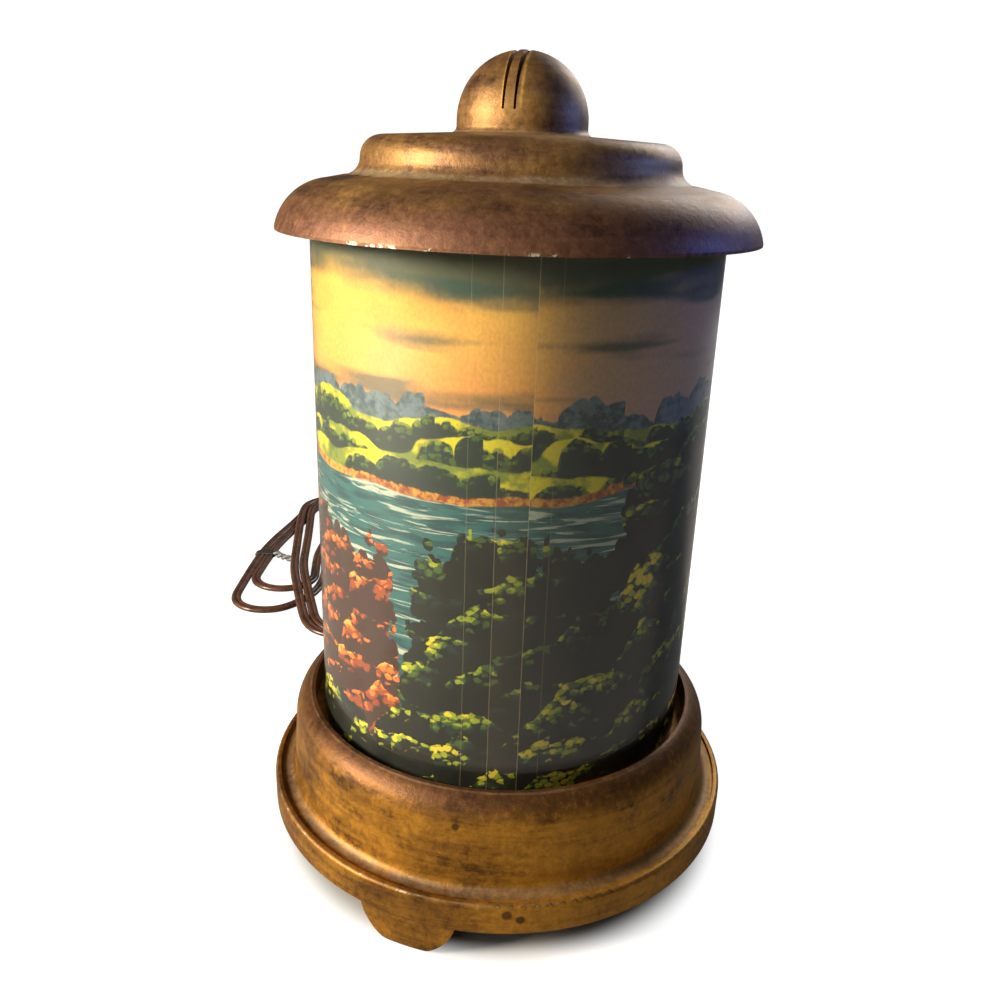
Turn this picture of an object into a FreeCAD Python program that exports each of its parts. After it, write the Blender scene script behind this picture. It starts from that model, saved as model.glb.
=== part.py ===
import FreeCAD, Part
import math
import os
import Sketcher
from FreeCAD import Placement, Rotation, Vector

# Rotating motion lamp, after the table lamps of the 1930s that are turned by the bulb's own heat.
# Millimetres, +Z up. The origin is on the lamp's axis, at the surface that the feet stand on,
# and the viewer stands at -Y. The cord leaves the base at +Y.

document = FreeCAD.newDocument("MotionLamp")

# Driving dimensions: name, value in millimetres, degrees or pieces, and what it is.
DIMENSIONS = [
    # Clearances
    ("SeatGap", 0.05, "between fixed pieces that bear on each other"),
    ("SlipGap", 0.05, "around a screw, pipe or pin in its hole"),
    ("LiftGap", 0.2, "under a piece that lifts off"),
    ("PivotGap", 0.06, "between the needle and its cup"),
    # Base casting
    ("FootHeight", 11.5, "feet below the band"),
    ("FootRound", 16.0, "radius of a foot's half disc"),
    ("FootFlat", 0.5, "depth by which the disc is flat at the table"),
    ("FootDepth", 10.0, "foot along the lamp's radius"),
    ("FootInset", 0.7, "foot's face inside the band's face"),
    ("FootEdge", 2.0, "rounded lower edge of a foot's face"),
    ("FootRoot", 4.0, "foot's root up inside the band"),
    ("FootCount", 3, "feet"),
    ("FootTurn", -19.0, "first foot, from the front, in degrees"),
    ("BandStep", 6.9, "plain band round the foot of the base, beyond the wall"),
    ("BandHeight", 10.7, "band from its lower to its upper edge"),
    ("BandRound", 1.2, "rounded edges of the band"),
    ("GrooveWidth", 1.5, "groove inside the band's upper edge"),
    ("GrooveDepth", 0.8, "depth of that groove"),
    ("BaseCove", 3.5, "cove from the groove up to the wall"),
    ("WallTaper", 1.2, "wall wider at its foot than under the shoulder"),
    ("ShoulderWidth", 6.6, "wall under the shoulder, beyond the rim's bore"),
    ("WallTopHeight", 42.0, "height where the shoulder starts"),
    ("ShoulderRound", 10.5, "rolled shoulder"),
    ("RimLand", 1.1, "crest of the rim beyond its bore"),
    ("RimHeight", 51.6, "crest of the rim above the table"),
    ("RimGap", 3.3, "between the glass and the rim's bore"),
    ("CastingWall", 3.1, "wall of the base casting"),
    ("LedgeHeight", 43.5, "ledge that the glass stands on"),
    ("DeckThickness", 3.0, "thickness of the deck"),
    ("LedgeWidth", 12.0, "deck inside the glass's outer face"),
    # Glass and scene
    ("GlassRadius", 62.0, "outside of the glass cylinder"),
    ("GlassWall", 2.4, "thickness of the glass"),
    ("GlassHeight", 166.5, "length of the glass cylinder"),
    ("GlassEdge", 0.8, "fire-polished edges of the glass"),
    ("SceneGap", 0.3, "between the glass and the printed sheet"),
    ("SceneThickness", 0.4, "printed sheet"),
    ("SceneShort", 1.0, "printed sheet below the glass's upper edge"),
    ("TapeWidth", 13.0, "tape over the sheet's seam"),
    ("TapeThickness", 0.2, "thickness of that tape"),
    ("TapeGap", 0.2, "between the sheet and the tape"),
    # Lid
    ("LidOverlap", 6.0, "brim's lower edge below the top of the glass"),
    ("BrimReach", 9.9, "brim of the lid beyond the glass"),
    ("BrimEdge", 0.8, "upright land at the brim's edge"),
    ("BrimRound", 17.5, "swell of the brim"),
    ("BrimWidth", 14.9, "brim from its edge in to the shelf above it"),
    ("ShelfHeight", 14.2, "that edge above the brim's lower edge"),
    ("ShelfRise", 1.0, "rise of the shelf to the cove"),
    ("LidCove", 4.9, "cove between the shelf and the step"),
    ("ShelfWidth", 9.9, "shelf from its edge in to the raised step"),
    ("StepHeight", 26.4, "top of the step above the brim's lower edge"),
    ("StepRound", 6.4, "rounded edge of the step"),
    ("CrownRise", 1.2, "rise of the crown to the knob"),
    ("LidWall", 3.0, "wall of the lid casting"),
    ("RingGap", 0.4, "between the glass and the locating ring"),
    ("RingWall", 2.4, "locating ring"),
    ("RingDepth", 3.4, "locating ring below the glass's upper edge"),
    ("SeatWidth", 4.5, "seat inside the glass's outer edge"),
    ("KnobRadius", 19.2, "half-round knob"),
    ("KnobCove", 1.8, "cove at the foot of the knob"),
    ("KnobCentre", 31.0, "centre of the knob above the brim's lower edge"),
    ("KnobWall", 2.8, "wall of the hollow knob"),
    ("SlotWidth", 2.0, "vent slot over the knob"),
    ("SlotTip", 0.5, "a slot's width at its front end"),
    ("SlotBack", 1.5, "slots beyond the middle of the crown"),
    ("SlotSpacing", 3.3, "between the two slots' centres"),
    ("SlotFoot", 2.7, "end of a slot above the knob's centre"),
    ("SlotTurn", -10.0, "slots turned from the front, in degrees"),
    # Bracket and lamp pipe
    ("StrapThickness", 2.0, "steel strap under the deck"),
    ("StrapWidth", 20.0, "width of the strap"),
    ("StrapInset", 3.0, "strap's lowered middle inside the deck's opening"),
    ("TabLength", 6.0, "tab beyond its screw"),
    ("StrapDrop", 6.45, "lowered middle below the tabs"),
    ("ScrewInset", 5.0, "bracket screw from the deck's opening"),
    ("ScrewRadius", 2.0, "shank of a bracket screw"),
    ("ScrewHeadRadius", 3.8, "head of a bracket screw"),
    ("ScrewHeadHeight", 2.4, "height of that head"),
    ("PipeRadius", 5.1, "lamp pipe"),
    ("PipeBore", 3.2, "bore of the lamp pipe"),
    ("PipeBelow", 8.0, "lamp pipe below the strap"),
    ("PipeAbove", 9.0, "lamp pipe above the strap"),
    ("LocknutRadius", 8.2, "locknut over its corners"),
    ("LocknutThickness", 3.0, "thickness of a locknut"),
    # Lampholder
    ("SocketRadius", 17.0, "cap of the lampholder"),
    ("SocketCapHeight", 12.0, "height of that cap"),
    ("SocketWall", 0.6, "pressed brass"),
    ("ShellHeight", 39.0, "shell of the lampholder"),
    ("ShellNest", 4.0, "shell inside the cap"),
    ("LinerThickness", 0.8, "fibre liner"),
    ("InsulatorHeight", 14.0, "moulded inner body"),
    ("ScrewShellBore", 13.35, "bore of the screw shell"),
    ("ScrewShellWall", 0.4, "wall of the screw shell"),
    ("ScrewShellHeight", 25.0, "height of the screw shell"),
    ("TongueWidth", 6.0, "centre contact"),
    ("TongueThickness", 0.5, "thickness of the centre contact"),
    ("TongueRise", 3.0, "spring height of the centre contact"),
    # Bulb
    ("BulbLength", 110.0, "bulb from its contact to its top"),
    ("BulbRadius", 30.0, "globe of the bulb"),
    ("BulbNeckRadius", 12.4, "neck of the bulb"),
    ("BulbNeckRound", 70.0, "hollow curve from neck to globe"),
    ("NeckShare", 0.8, "globe's radius where the neck's curve starts, as a share"),
    ("BulbGlassWall", 0.8, "glass of the bulb"),
    ("BulbCapRadius", 13.1, "screw cap of the bulb"),
    ("BulbCapHeight", 24.0, "height of the screw cap"),
    ("BulbCapWall", 0.4, "wall of the screw cap"),
    ("ContactHeight", 3.0, "contact and its insulating ring"),
    ("StemHeight", 58.0, "glass stem above the neck's lower end"),
    ("StemRadius", 3.2, "glass stem"),
    ("FilamentRadius", 11.0, "filament from the axis"),
    # Pivot bridge
    ("BridgeWireRadius", 1.2, "wire of the pivot bridge"),
    ("LegInset", 8.0, "leg of the bridge inside the rotor's outside"),
    ("BridgeBend", 16.0, "bend between leg and top"),
    ("BridgeClearance", 9.0, "wire's centre above the bulb"),
    ("BridgeNutRadius", 4.2, "leg nut over its corners"),
    ("BridgeNutThickness", 2.4, "thickness of a leg nut"),
    ("LegEnd", 5.0, "leg below the strap"),
    ("NeedleHeight", 13.0, "needle above the wire"),
    ("NeedleRadius", 1.0, "shank of the needle"),
    ("NeedlePoint", 4.0, "length of the needle's point"),
    ("NeedleTip", 0.15, "rounded end of the point"),
    ("NeedleCollarRadius", 2.6, "collar that stands on the wire"),
    ("NeedleCollarHeight", 2.5, "height of that collar"),
    # Rotor
    ("AirGap", 12.9, "between the printed sheet and the rotor's sleeve"),
    ("RotorWall", 0.5, "thickness of the sleeve"),
    ("RotorHeight", 138.0, "length of the sleeve"),
    ("RotorCrown", 1.0, "sleeve above the needle's point"),
    ("FanSheet", 0.6, "sheet of the fan"),
    ("FanHubRadius", 9.0, "flat hub of the fan"),
    ("FanRimHeight", 7.0, "upright rim of the fan"),
    ("BladeCount", 12, "blades"),
    ("BladeRoot", 3.6, "width of a blade at the hub"),
    ("BladeEnd", 17.0, "width of a blade at the rim"),
    ("RootTurn", 40.0, "pitch of a blade at the hub, in degrees"),
    ("EndTurn", 22.0, "pitch of a blade at the rim, in degrees"),
    ("CupRadius", 2.8, "bearing cup"),
    ("CupDepth", 5.0, "bearing cup below the needle's point"),
    ("CupCrown", 2.2, "bearing cup above the needle's point"),
    ("CupFlangeRadius", 5.0, "flange of the cup on the hub"),
    ("CupFlange", 0.8, "thickness of that flange"),
    ("HoopWireRadius", 0.8, "wire hoop at the foot of the sleeve"),
    ("HoopLift", 1.2, "hoop above the sleeve's lower edge"),
    ("EyeletRadius", 1.2, "shank of an eyelet"),
    ("EyeletHeadRadius", 2.2, "head of an eyelet"),
    ("EyeletHead", 0.5, "thickness of a head"),
    ("EyeletSeat", 0.1, "rolled end inside the curved rim"),
    ("EyeletCount", 4, "eyelets between sleeve and fan"),
    # Cord and plug
    ("CordWidth", 5.0, "brown twin cord over its width"),
    ("CordPitch", 5.6, "from one turn of the hank to the next"),
    ("SmallFold", 15.0, "inner fold of the hank"),
    ("NearFold", 24.0, "widest fold of the hank"),
    ("HankSide", 112.0, "hank's far folds to the left of the axis"),
    ("HankFar", 195.0, "far folds beyond the bushing's end"),
    ("NearRun", 123.0, "widest fold in front of the far folds"),
    ("NearDrift", 8.0, "widest fold to the left of the far folds"),
    ("InnerRun", 103.0, "fold inside the widest one, in front of the far folds"),
    ("InnerDrift", 9.0, "that fold to the left of the far folds"),
    ("FrontRun", 145.0, "front folds in front of the far folds"),
    ("FrontDrift", 31.5, "front folds to the right of the far folds"),
    ("TailLength", 45.0, "cord from the hank to the plug"),
    ("TailTurn", 345.0, "where the tail leaves the last fold, in degrees"),
    ("TableGap", 0.1, "between the cord or the plug and the table"),
    ("CordBore", 2.65, "bore of the bushing"),
    ("ExitHeight", 33.0, "cord's exit above the table"),
    ("BushingShank", 3.95, "bushing through the wall"),
    ("BushingFlange", 6.4, "collars of the bushing"),
    ("BushingCollar", 2.0, "thickness of a collar"),
    ("BushingTip", 3.6, "small end of the bushing's taper"),
    ("BushingTaper", 13.0, "length of the taper outside"),
    ("PlugWidth", 23.0, "plug over its width"),
    ("PlugLength", 21.0, "grip of the plug"),
    ("PlugNeck", 10.0, "tapered neck of the plug"),
    ("PlugNeckRadius", 4.0, "neck where the cord enters"),
    ("PlugRound", 3.0, "rounded edges of the grip"),
    ("BladeSpacing", 12.7, "between the plug's blades"),
    ("BladeLength", 17.0, "blade beyond the plug's face"),
    ("BladeWidth", 6.3, "width of a blade"),
    ("BladeThickness", 1.5, "thickness of a blade"),
]

sheet = document.addObject("Spreadsheet::Sheet", "Sizes")
for row, (alias, value, meaning) in enumerate(DIMENSIONS, start=1):
    sheet.set("A%d" % row, alias)
    sheet.set("B%d" % row, str(value))
    sheet.set("C%d" % row, meaning)
    sheet.setAlias("B%d" % row, alias)
document.recompute()


class Size:
    """A size read from the sheet or worked out from others, with the expression that gives it."""

    def __init__(self, number, text):
        self.number = float(number)
        self.text = text

    def __add__(self, other):
        other = as_size(other)
        return Size(self.number + other.number, "(%s + %s)" % (self.text, other.text))

    def __sub__(self, other):
        other = as_size(other)
        return Size(self.number - other.number, "(%s - %s)" % (self.text, other.text))

    def __mul__(self, other):
        other = as_size(other)
        return Size(self.number * other.number, "%s * %s" % (self.text, other.text))

    def __truediv__(self, other):
        other = as_size(other)
        return Size(self.number / other.number, "(%s / %s)" % (self.text, other.text))

    def __neg__(self):
        return Size(-self.number, "(0 - %s)" % self.text)

    def __radd__(self, other):
        return as_size(other) + self

    def __rsub__(self, other):
        return as_size(other) - self

    def __rtruediv__(self, other):
        return as_size(other) / self


def as_size(value):
    if isinstance(value, Size):
        return value
    return Size(value, repr(float(value)))


def size(alias):
    return Size(sheet.get(alias), "Sizes." + alias)


ZERO = as_size(0)
OUT = 1
IN = -1


def bind(thing, name, value):
    """Gives a property or a constraint its size, by the sheet's expression."""
    thing.setExpression(name, as_size(value).text)


# Heights that several pieces share

band_top = size("FootHeight") + size("BandHeight")
groove_floor = band_top - size("GrooveDepth")
deck_underside = size("LedgeHeight") - size("DeckThickness")
tab_top = deck_underside - size("SeatGap")
strap_top = tab_top - size("StrapDrop")
strap_bottom = strap_top - size("StrapThickness")
pipe_top = strap_top + size("PipeAbove")
cap_bottom = strap_top + size("SeatGap") + size("LocknutThickness") + size("SeatGap")
cap_top = cap_bottom + size("SocketCapHeight")
insulator_bottom = pipe_top + size("SeatGap")
insulator_top = insulator_bottom + size("InsulatorHeight")
bulb_bottom = insulator_top + size("SeatGap") + size("TongueRise") + size("SeatGap")
bulb_top = bulb_bottom + size("BulbLength")
bridge_height = bulb_top + size("BridgeClearance")
needle_foot = bridge_height + size("BridgeWireRadius") + size("SeatGap")
needle_top = needle_foot + size("NeedleHeight")
rotor_top = needle_top + size("RotorCrown")
rotor_foot = rotor_top - size("RotorHeight")
glass_foot = size("LedgeHeight") + size("LiftGap")
glass_top = glass_foot + size("GlassHeight")
lid_seat = glass_top + size("LiftGap")
brim_foot = lid_seat - size("LidOverlap")
glass_bore = size("GlassRadius") - size("GlassWall")
scene_radius = glass_bore - size("SceneGap")
scene_bore = scene_radius - size("SceneThickness")

# Radii that several pieces share, each from the glass

rim_bore_radius = size("GlassRadius") + size("RimGap")
wall_top_radius = rim_bore_radius + size("ShoulderWidth")
wall_foot_radius = wall_top_radius + size("WallTaper")
band_radius = wall_foot_radius + size("BandStep")
opening_radius = size("GlassRadius") - size("LedgeWidth")
screw_reach = opening_radius + size("ScrewInset")
rotor_radius = scene_bore - size("AirGap")
bridge_reach = rotor_radius - size("LegInset")

parts = []


def keep(thing):
    parts.append(thing)
    return thing


# Ways of making a piece


def new_body(label):
    body = document.addObject("PartDesign::Body", label)
    body.Label = label
    return body


def new_sketch(body, name, role, offset=None):
    """A sketch on one of its own body's origin planes."""
    sketch = body.newObject("Sketcher::SketchObject", name)
    plane = [f for f in body.Origin.OriginFeatures if f.Role == role][0]
    sketch.AttachmentSupport = [(plane, "")]
    sketch.MapMode = "FlatFace"
    if offset is not None:
        sketch.AttachmentOffset = offset
    return sketch


def arc_middle(start, end, radius, side):
    """The middle of the short arc from start to end, bulging to the right (OUT) or left (IN)."""
    across = Vector(end.x - start.x, end.y - start.y, 0)
    half = across.Length / 2
    rise = radius - math.sqrt(radius * radius - half * half)
    right = Vector(across.y, -across.x, 0)
    right.normalize()
    return (start + end) * 0.5 + right * (rise * side)


def place_point(sketch, geometry, end, x, y):
    """Ties a point of the sketch to its two sizes."""
    for value, axis, kind in ((x, -2, "DistanceX"), (y, -1, "DistanceY")):
        if value.text == ZERO.text:
            sketch.addConstraint(Sketcher.Constraint("PointOnObject", geometry, end, axis))
        else:
            index = sketch.addConstraint(Sketcher.Constraint(kind, -1, 1, geometry, end, value.number))
            bind(sketch, "Constraints[%d]" % index, value)


def draw_outline(sketch, corners):
    """A closed outline. A corner is (x, y), or (x, y, radius, side) where an arc leads on from it."""
    corners = [tuple(as_size(v) for v in c[:3]) + c[3:] for c in corners]
    points = [Vector(c[0].number, c[1].number, 0) for c in corners]
    ends = []
    for k, corner in enumerate(corners):
        start = points[k]
        end = points[(k + 1) % len(points)]
        if len(corner) == 4:
            middle = arc_middle(start, end, corner[2].number, corner[3])
            geometry = sketch.addGeometry(Part.Arc(start, middle, end))
            index = sketch.addConstraint(Sketcher.Constraint("Radius", geometry, corner[2].number))
            bind(sketch, "Constraints[%d]" % index, corner[2])
            flipped = sketch.getPoint(geometry, 1).distanceToPoint(start) > 1e-6
            ends.append((geometry, 2, 1) if flipped else (geometry, 1, 2))
        else:
            geometry = sketch.addGeometry(Part.LineSegment(start, end))
            ends.append((geometry, 1, 2))
    for k, (geometry, first, _) in enumerate(ends):
        before = ends[k - 1]
        sketch.addConstraint(Sketcher.Constraint("Coincident", before[0], before[2], geometry, first))
    for k, (geometry, first, _) in enumerate(ends):
        place_point(sketch, geometry, first, corners[k][0], corners[k][1])


def draw_circle(sketch, x, y, radius):
    radius = as_size(radius)
    x = as_size(x)
    y = as_size(y)
    centre = Vector(x.number, y.number, 0)
    geometry = sketch.addGeometry(Part.Circle(centre, Vector(0, 0, 1), radius.number))
    place_point(sketch, geometry, 3, x, y)
    index = sketch.addConstraint(Sketcher.Constraint("Radius", geometry, radius.number))
    bind(sketch, "Constraints[%d]" % index, radius)


def revolve(body, corners, name="Profile"):
    """Turns an outline of radii and heights about the body's own Z axis."""
    sketch = new_sketch(body, name, "XZ_Plane")
    draw_outline(sketch, corners)
    turn = body.newObject("PartDesign::Revolution", name + "Turn")
    turn.Profile = sketch
    turn.ReferenceAxis = (sketch, ["V_Axis"])
    turn.Angle = 360
    return turn


def turned(label, corners):
    body = new_body(label)
    revolve(body, corners)
    return keep(body)


def pad(body, sketch, length, name, midplane=False):
    feature = body.newObject("PartDesign::Pad", name)
    feature.Profile = sketch
    bind(feature, "Length", length)
    feature.Midplane = midplane
    return feature


def drill(body, circles, start, depth, name):
    """Round holes up along Z, from the height where they start."""
    sketch = new_sketch(body, name + "Circles", "XY_Plane")
    bind(sketch, "AttachmentOffset.Base.z", start)
    for x, y, radius in circles:
        draw_circle(sketch, x, y, radius)
    hole = body.newObject("PartDesign::Pocket", name)
    hole.Profile = sketch
    bind(hole, "Length", depth)
    hole.Reversed = True
    return hole


def around_axis(body, feature, count, name):
    """Repeats a feature about the body's Z axis."""
    pattern = body.newObject("PartDesign::PolarPattern", name)
    pattern.Originals = [feature]
    pattern.Axis = ([f for f in body.Origin.OriginFeatures if f.Role == "Z_Axis"][0], [""])
    pattern.Angle = 360
    bind(pattern, "Occurrences", count)
    body.Tip = pattern
    return pattern


def tube(label, outer, bore, foot, height):
    """A plain tube on the lamp's axis."""
    rod = document.addObject("Part::Cylinder", label + "_rod")
    bind(rod, "Radius", outer)
    bind(rod, "Height", height)
    bind(rod, "Placement.Base.z", foot)
    core = document.addObject("Part::Cylinder", label + "_core")
    bind(core, "Radius", bore)
    bind(core, "Height", height)
    bind(core, "Placement.Base.z", foot)
    cut = document.addObject("Part::Cut", label)
    cut.Base = rod
    cut.Tool = core
    cut.Label = label
    return keep(cut)


def hexagon_nut(name, radius, bore, thickness, x, foot):
    """A nut with its lower face at foot."""
    block = document.addObject("Part::Prism", name + "_block")
    block.Polygon = 6
    bind(block, "Circumradius", radius)
    bind(block, "Height", thickness)
    core = document.addObject("Part::Cylinder", name + "_bore")
    bind(core, "Radius", bore)
    bind(core, "Height", thickness)
    for thing in (block, core):
        bind(thing, "Placement.Base.x", x)
        bind(thing, "Placement.Base.z", foot)
    cut = document.addObject("Part::Cut", name)
    cut.Base = block
    cut.Tool = core
    return cut


def group(label, members):
    compound = document.addObject("Part::Compound", label)
    compound.Links = members
    compound.Label = label
    return keep(compound)


# Base casting


def make_base_casting():
    body = new_body("base_casting")
    wall = size("CastingWall")
    cove_top = groove_floor + size("BaseCove")
    cove_foot = wall_foot_radius + size("BaseCove")
    groove_outside = cove_foot + size("GrooveWidth")
    inside_foot = band_radius - wall
    revolve(body, [
        (inside_foot, size("FootHeight")),
        (band_radius - size("BandRound"), size("FootHeight"), size("BandRound"), OUT),
        (band_radius, size("FootHeight") + size("BandRound")),
        (band_radius, band_top - size("BandRound"), size("BandRound"), OUT),
        (band_radius - size("BandRound"), band_top),
        (groove_outside, band_top),
        (groove_outside, groove_floor),
        (cove_foot, groove_floor, size("BaseCove"), IN),
        (wall_foot_radius, cove_top),
        (wall_top_radius, size("WallTopHeight"), size("ShoulderRound"), OUT),
        (rim_bore_radius + size("RimLand"), size("RimHeight")),
        (rim_bore_radius, size("RimHeight")),
        (rim_bore_radius, size("LedgeHeight")),
        (opening_radius, size("LedgeHeight")),
        (opening_radius, deck_underside),
        (wall_top_radius - wall, deck_underside),
        (wall_foot_radius - wall, cove_top - wall),
        (inside_foot, groove_floor - wall),
    ])

    # Three half-disc feet, cast in one with the band
    face = band_radius - size("FootInset")
    turn = Rotation(Vector(0, 1, 0), sheet.get("FootTurn"))
    foot_sketch = new_sketch(body, "FootOutline", "XZ_Plane", Placement(Vector(0, 0, 0), turn))
    inner = face - size("FootDepth")
    ahead = turn.multVec(Vector(0, 0, 1))
    bind(foot_sketch, "AttachmentOffset.Base.x", inner * Size(ahead.x, "sin(Sizes.FootTurn)"))
    bind(foot_sketch, "AttachmentOffset.Base.z", inner * Size(ahead.z, "cos(Sizes.FootTurn)"))
    centre = size("FootRound") - size("FootFlat")
    top = size("FootHeight") + size("FootRoot")
    radius = sheet.get("FootRound")
    flat = math.sqrt(radius ** 2 - centre.number ** 2)
    wide = math.sqrt(radius ** 2 - (top.number - centre.number) ** 2)
    flat = Size(flat, "sqrt(pow(Sizes.FootRound; 2) - pow(%s; 2))" % centre.text)
    wide = Size(wide, "sqrt(pow(Sizes.FootRound; 2) - pow(%s; 2))" % (top - centre).text)
    draw_outline(foot_sketch, [
        (-flat, ZERO),
        (flat, ZERO, size("FootRound"), OUT),
        (wide, top),
        (-wide, top, size("FootRound"), OUT),
    ])
    foot = pad(body, foot_sketch, size("FootDepth") + size("FootInset"), "Foot")
    around_axis(body, foot, size("FootCount"), "Feet")

    # The feet's faces follow the band, with a rounded lower edge
    beyond = band_radius + size("FootDepth")
    edge = size("BandRound")
    rise = math.sqrt(edge.number ** 2 - (edge - size("FootInset")).number ** 2)
    rise = Size(rise, "sqrt(pow(Sizes.BandRound; 2) - pow(Sizes.BandRound - Sizes.FootInset; 2))")
    trim_sketch = new_sketch(body, "FootFace", "XZ_Plane")
    draw_outline(trim_sketch, [
        (face - size("FootEdge"), -size("FootEdge")),
        (beyond, -size("FootEdge")),
        (beyond, top),
        (band_radius, top),
        (band_radius, size("FootHeight") + edge, edge, IN),
        (face, size("FootHeight") + edge - rise),
        (face, size("FootEdge"), size("FootEdge"), IN),
        (face - size("FootEdge"), ZERO),
    ])
    trim = body.newObject("PartDesign::Groove", "FootFaces")
    trim.Profile = trim_sketch
    trim.ReferenceAxis = (trim_sketch, ["V_Axis"])
    trim.Angle = 360

    # Tapped holes for the bracket, and the cord's hole at the back
    holes = [(side * screw_reach, ZERO, size("ScrewRadius") + size("SlipGap")) for side in sides]
    drill(body, holes, deck_underside, size("DeckThickness"), "BracketHoles")
    exit_sketch = new_sketch(body, "CordHoleCircle", "XZ_Plane")
    bind(exit_sketch, "AttachmentOffset.Base.z", -band_radius)
    draw_circle(exit_sketch, ZERO, size("ExitHeight"), size("BushingShank") + size("SlipGap"))
    exit_hole = body.newObject("PartDesign::Pocket", "CordHole")
    exit_hole.Profile = exit_sketch
    bind(exit_hole, "Length", band_radius - opening_radius)
    exit_hole.Reversed = True
    return keep(body)


sides = (Size(-1, "-1"), Size(1, "1"))


# Bracket, its screws and the lamp pipe


def make_bracket():
    body = new_body("socket_bracket")
    sketch = new_sketch(body, "StrapSide", "XZ_Plane")
    thick = size("StrapThickness")
    shoulder = opening_radius - size("StrapInset")
    reach = screw_reach + size("TabLength")
    draw_outline(sketch, [
        (-shoulder, strap_bottom),
        (shoulder, strap_bottom),
        (shoulder, tab_top - thick),
        (reach, tab_top - thick),
        (reach, tab_top),
        (shoulder - thick, tab_top),
        (shoulder - thick, strap_top),
        (thick - shoulder, strap_top),
        (thick - shoulder, tab_top),
        (-reach, tab_top),
        (-reach, tab_top - thick),
        (-shoulder, tab_top - thick),
    ])
    pad(body, sketch, size("StrapWidth"), "Strap", midplane=True)
    slip = size("SlipGap")
    middle = [(ZERO, ZERO, size("PipeRadius") + slip)]
    legs = [(side * bridge_reach, ZERO, size("BridgeWireRadius") + slip) for side in sides]
    drill(body, middle + legs, strap_bottom, thick, "PipeAndLegHoles")
    screws = [(side * screw_reach, ZERO, size("ScrewRadius") + slip) for side in sides]
    drill(body, screws, tab_top - thick, thick, "ScrewHoles")
    return keep(body)


def make_bracket_screws():
    """Two screws from below: a domed head, and a shank through the tab into the deck."""
    screws = []
    head_top = tab_top - size("StrapThickness") - size("SeatGap")
    shank_top = size("LedgeHeight") - size("SlipGap")
    for name, side in (("screw_left", sides[0]), ("screw_right", sides[1])):
        body = new_body(name)
        revolve(body, [
            (ZERO, head_top - size("ScrewHeadHeight")),
            (size("ScrewRadius"), head_top - size("ScrewHeadHeight"), size("ScrewHeadRadius"), OUT),
            (size("ScrewHeadRadius"), head_top),
            (size("ScrewRadius"), head_top),
            (size("ScrewRadius"), shank_top),
            (ZERO, shank_top),
        ])
        bind(body, "Placement.Base.x", side * screw_reach)
        screws.append(body)
    group("bracket_screws", screws)


def make_pipe():
    tube("lamp_pipe", size("PipeRadius"), size("PipeBore"), strap_bottom - size("PipeBelow"),
         size("PipeBelow") + size("StrapThickness") + size("PipeAbove"))
    bore = size("PipeRadius") + size("SlipGap")
    thick = size("LocknutThickness")
    under = strap_bottom - size("SeatGap") - thick
    over = strap_top + size("SeatGap")
    group("pipe_locknuts", [
        hexagon_nut("locknut_under", size("LocknutRadius"), bore, thick, ZERO, under),
        hexagon_nut("locknut_over", size("LocknutRadius"), bore, thick, ZERO, over),
    ])


# Lampholder


def make_lampholder():
    wall = size("SocketWall")
    radius = size("SocketRadius")
    neck = size("PipeRadius") + size("SlipGap")
    bend = wall + wall + wall
    turned("socket_cap", [
        (neck, cap_bottom),
        (radius - bend, cap_bottom, bend, OUT),
        (radius, cap_bottom + bend),
        (radius, cap_top),
        (radius - wall, cap_top),
        (radius - wall, cap_bottom + bend, bend - wall, IN),
        (radius - bend, cap_bottom + wall),
        (neck, cap_bottom + wall),
    ])
    shell_radius = radius - wall - size("SeatGap")
    shell_bottom = cap_top - size("ShellNest")
    tube("socket_shell", shell_radius, shell_radius - wall, shell_bottom, size("ShellHeight"))
    liner_radius = shell_radius - wall - size("SeatGap")
    liner_bore = liner_radius - size("LinerThickness")
    tube("shell_liner", liner_radius, liner_bore, shell_bottom + wall, size("ShellHeight") - wall - wall)

    # The inner body is stepped under the screw shell, which stands on it
    body_radius = liner_bore - size("SlipGap")
    foot_radius = body_radius - size("TongueRise")
    turned("socket_insulator", [
        (ZERO, insulator_bottom),
        (foot_radius, insulator_bottom),
        (foot_radius, insulator_bottom + size("TongueRise")),
        (body_radius, insulator_bottom + size("TongueRise")),
        (body_radius, insulator_top),
        (ZERO, insulator_top),
    ])
    tube("screw_shell", size("ScrewShellBore") + size("ScrewShellWall"), size("ScrewShellBore"),
         insulator_top + size("SeatGap"), size("ScrewShellHeight"))

    # Centre contact: a bent strip, its foot on the inner body and its tip under the bulb
    body = new_body("contact_tongue")
    sketch = new_sketch(body, "TongueSide", "XZ_Plane")
    thick = size("TongueThickness")
    rise = size("TongueRise")
    foot = insulator_top + size("SeatGap")
    draw_outline(sketch, [
        (-(rise + rise), foot),
        (rise, foot),
        (rise, foot + thick),
        (-rise, foot + thick),
        (ZERO, foot + rise - thick),
        (rise, foot + rise - thick),
        (rise, foot + rise),
        (-thick, foot + rise),
        (-(rise + thick), foot + thick),
        (-(rise + rise), foot + thick),
    ])
    pad(body, sketch, size("TongueWidth"), "Tongue", midplane=True)
    keep(body)


# Bulb


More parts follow.
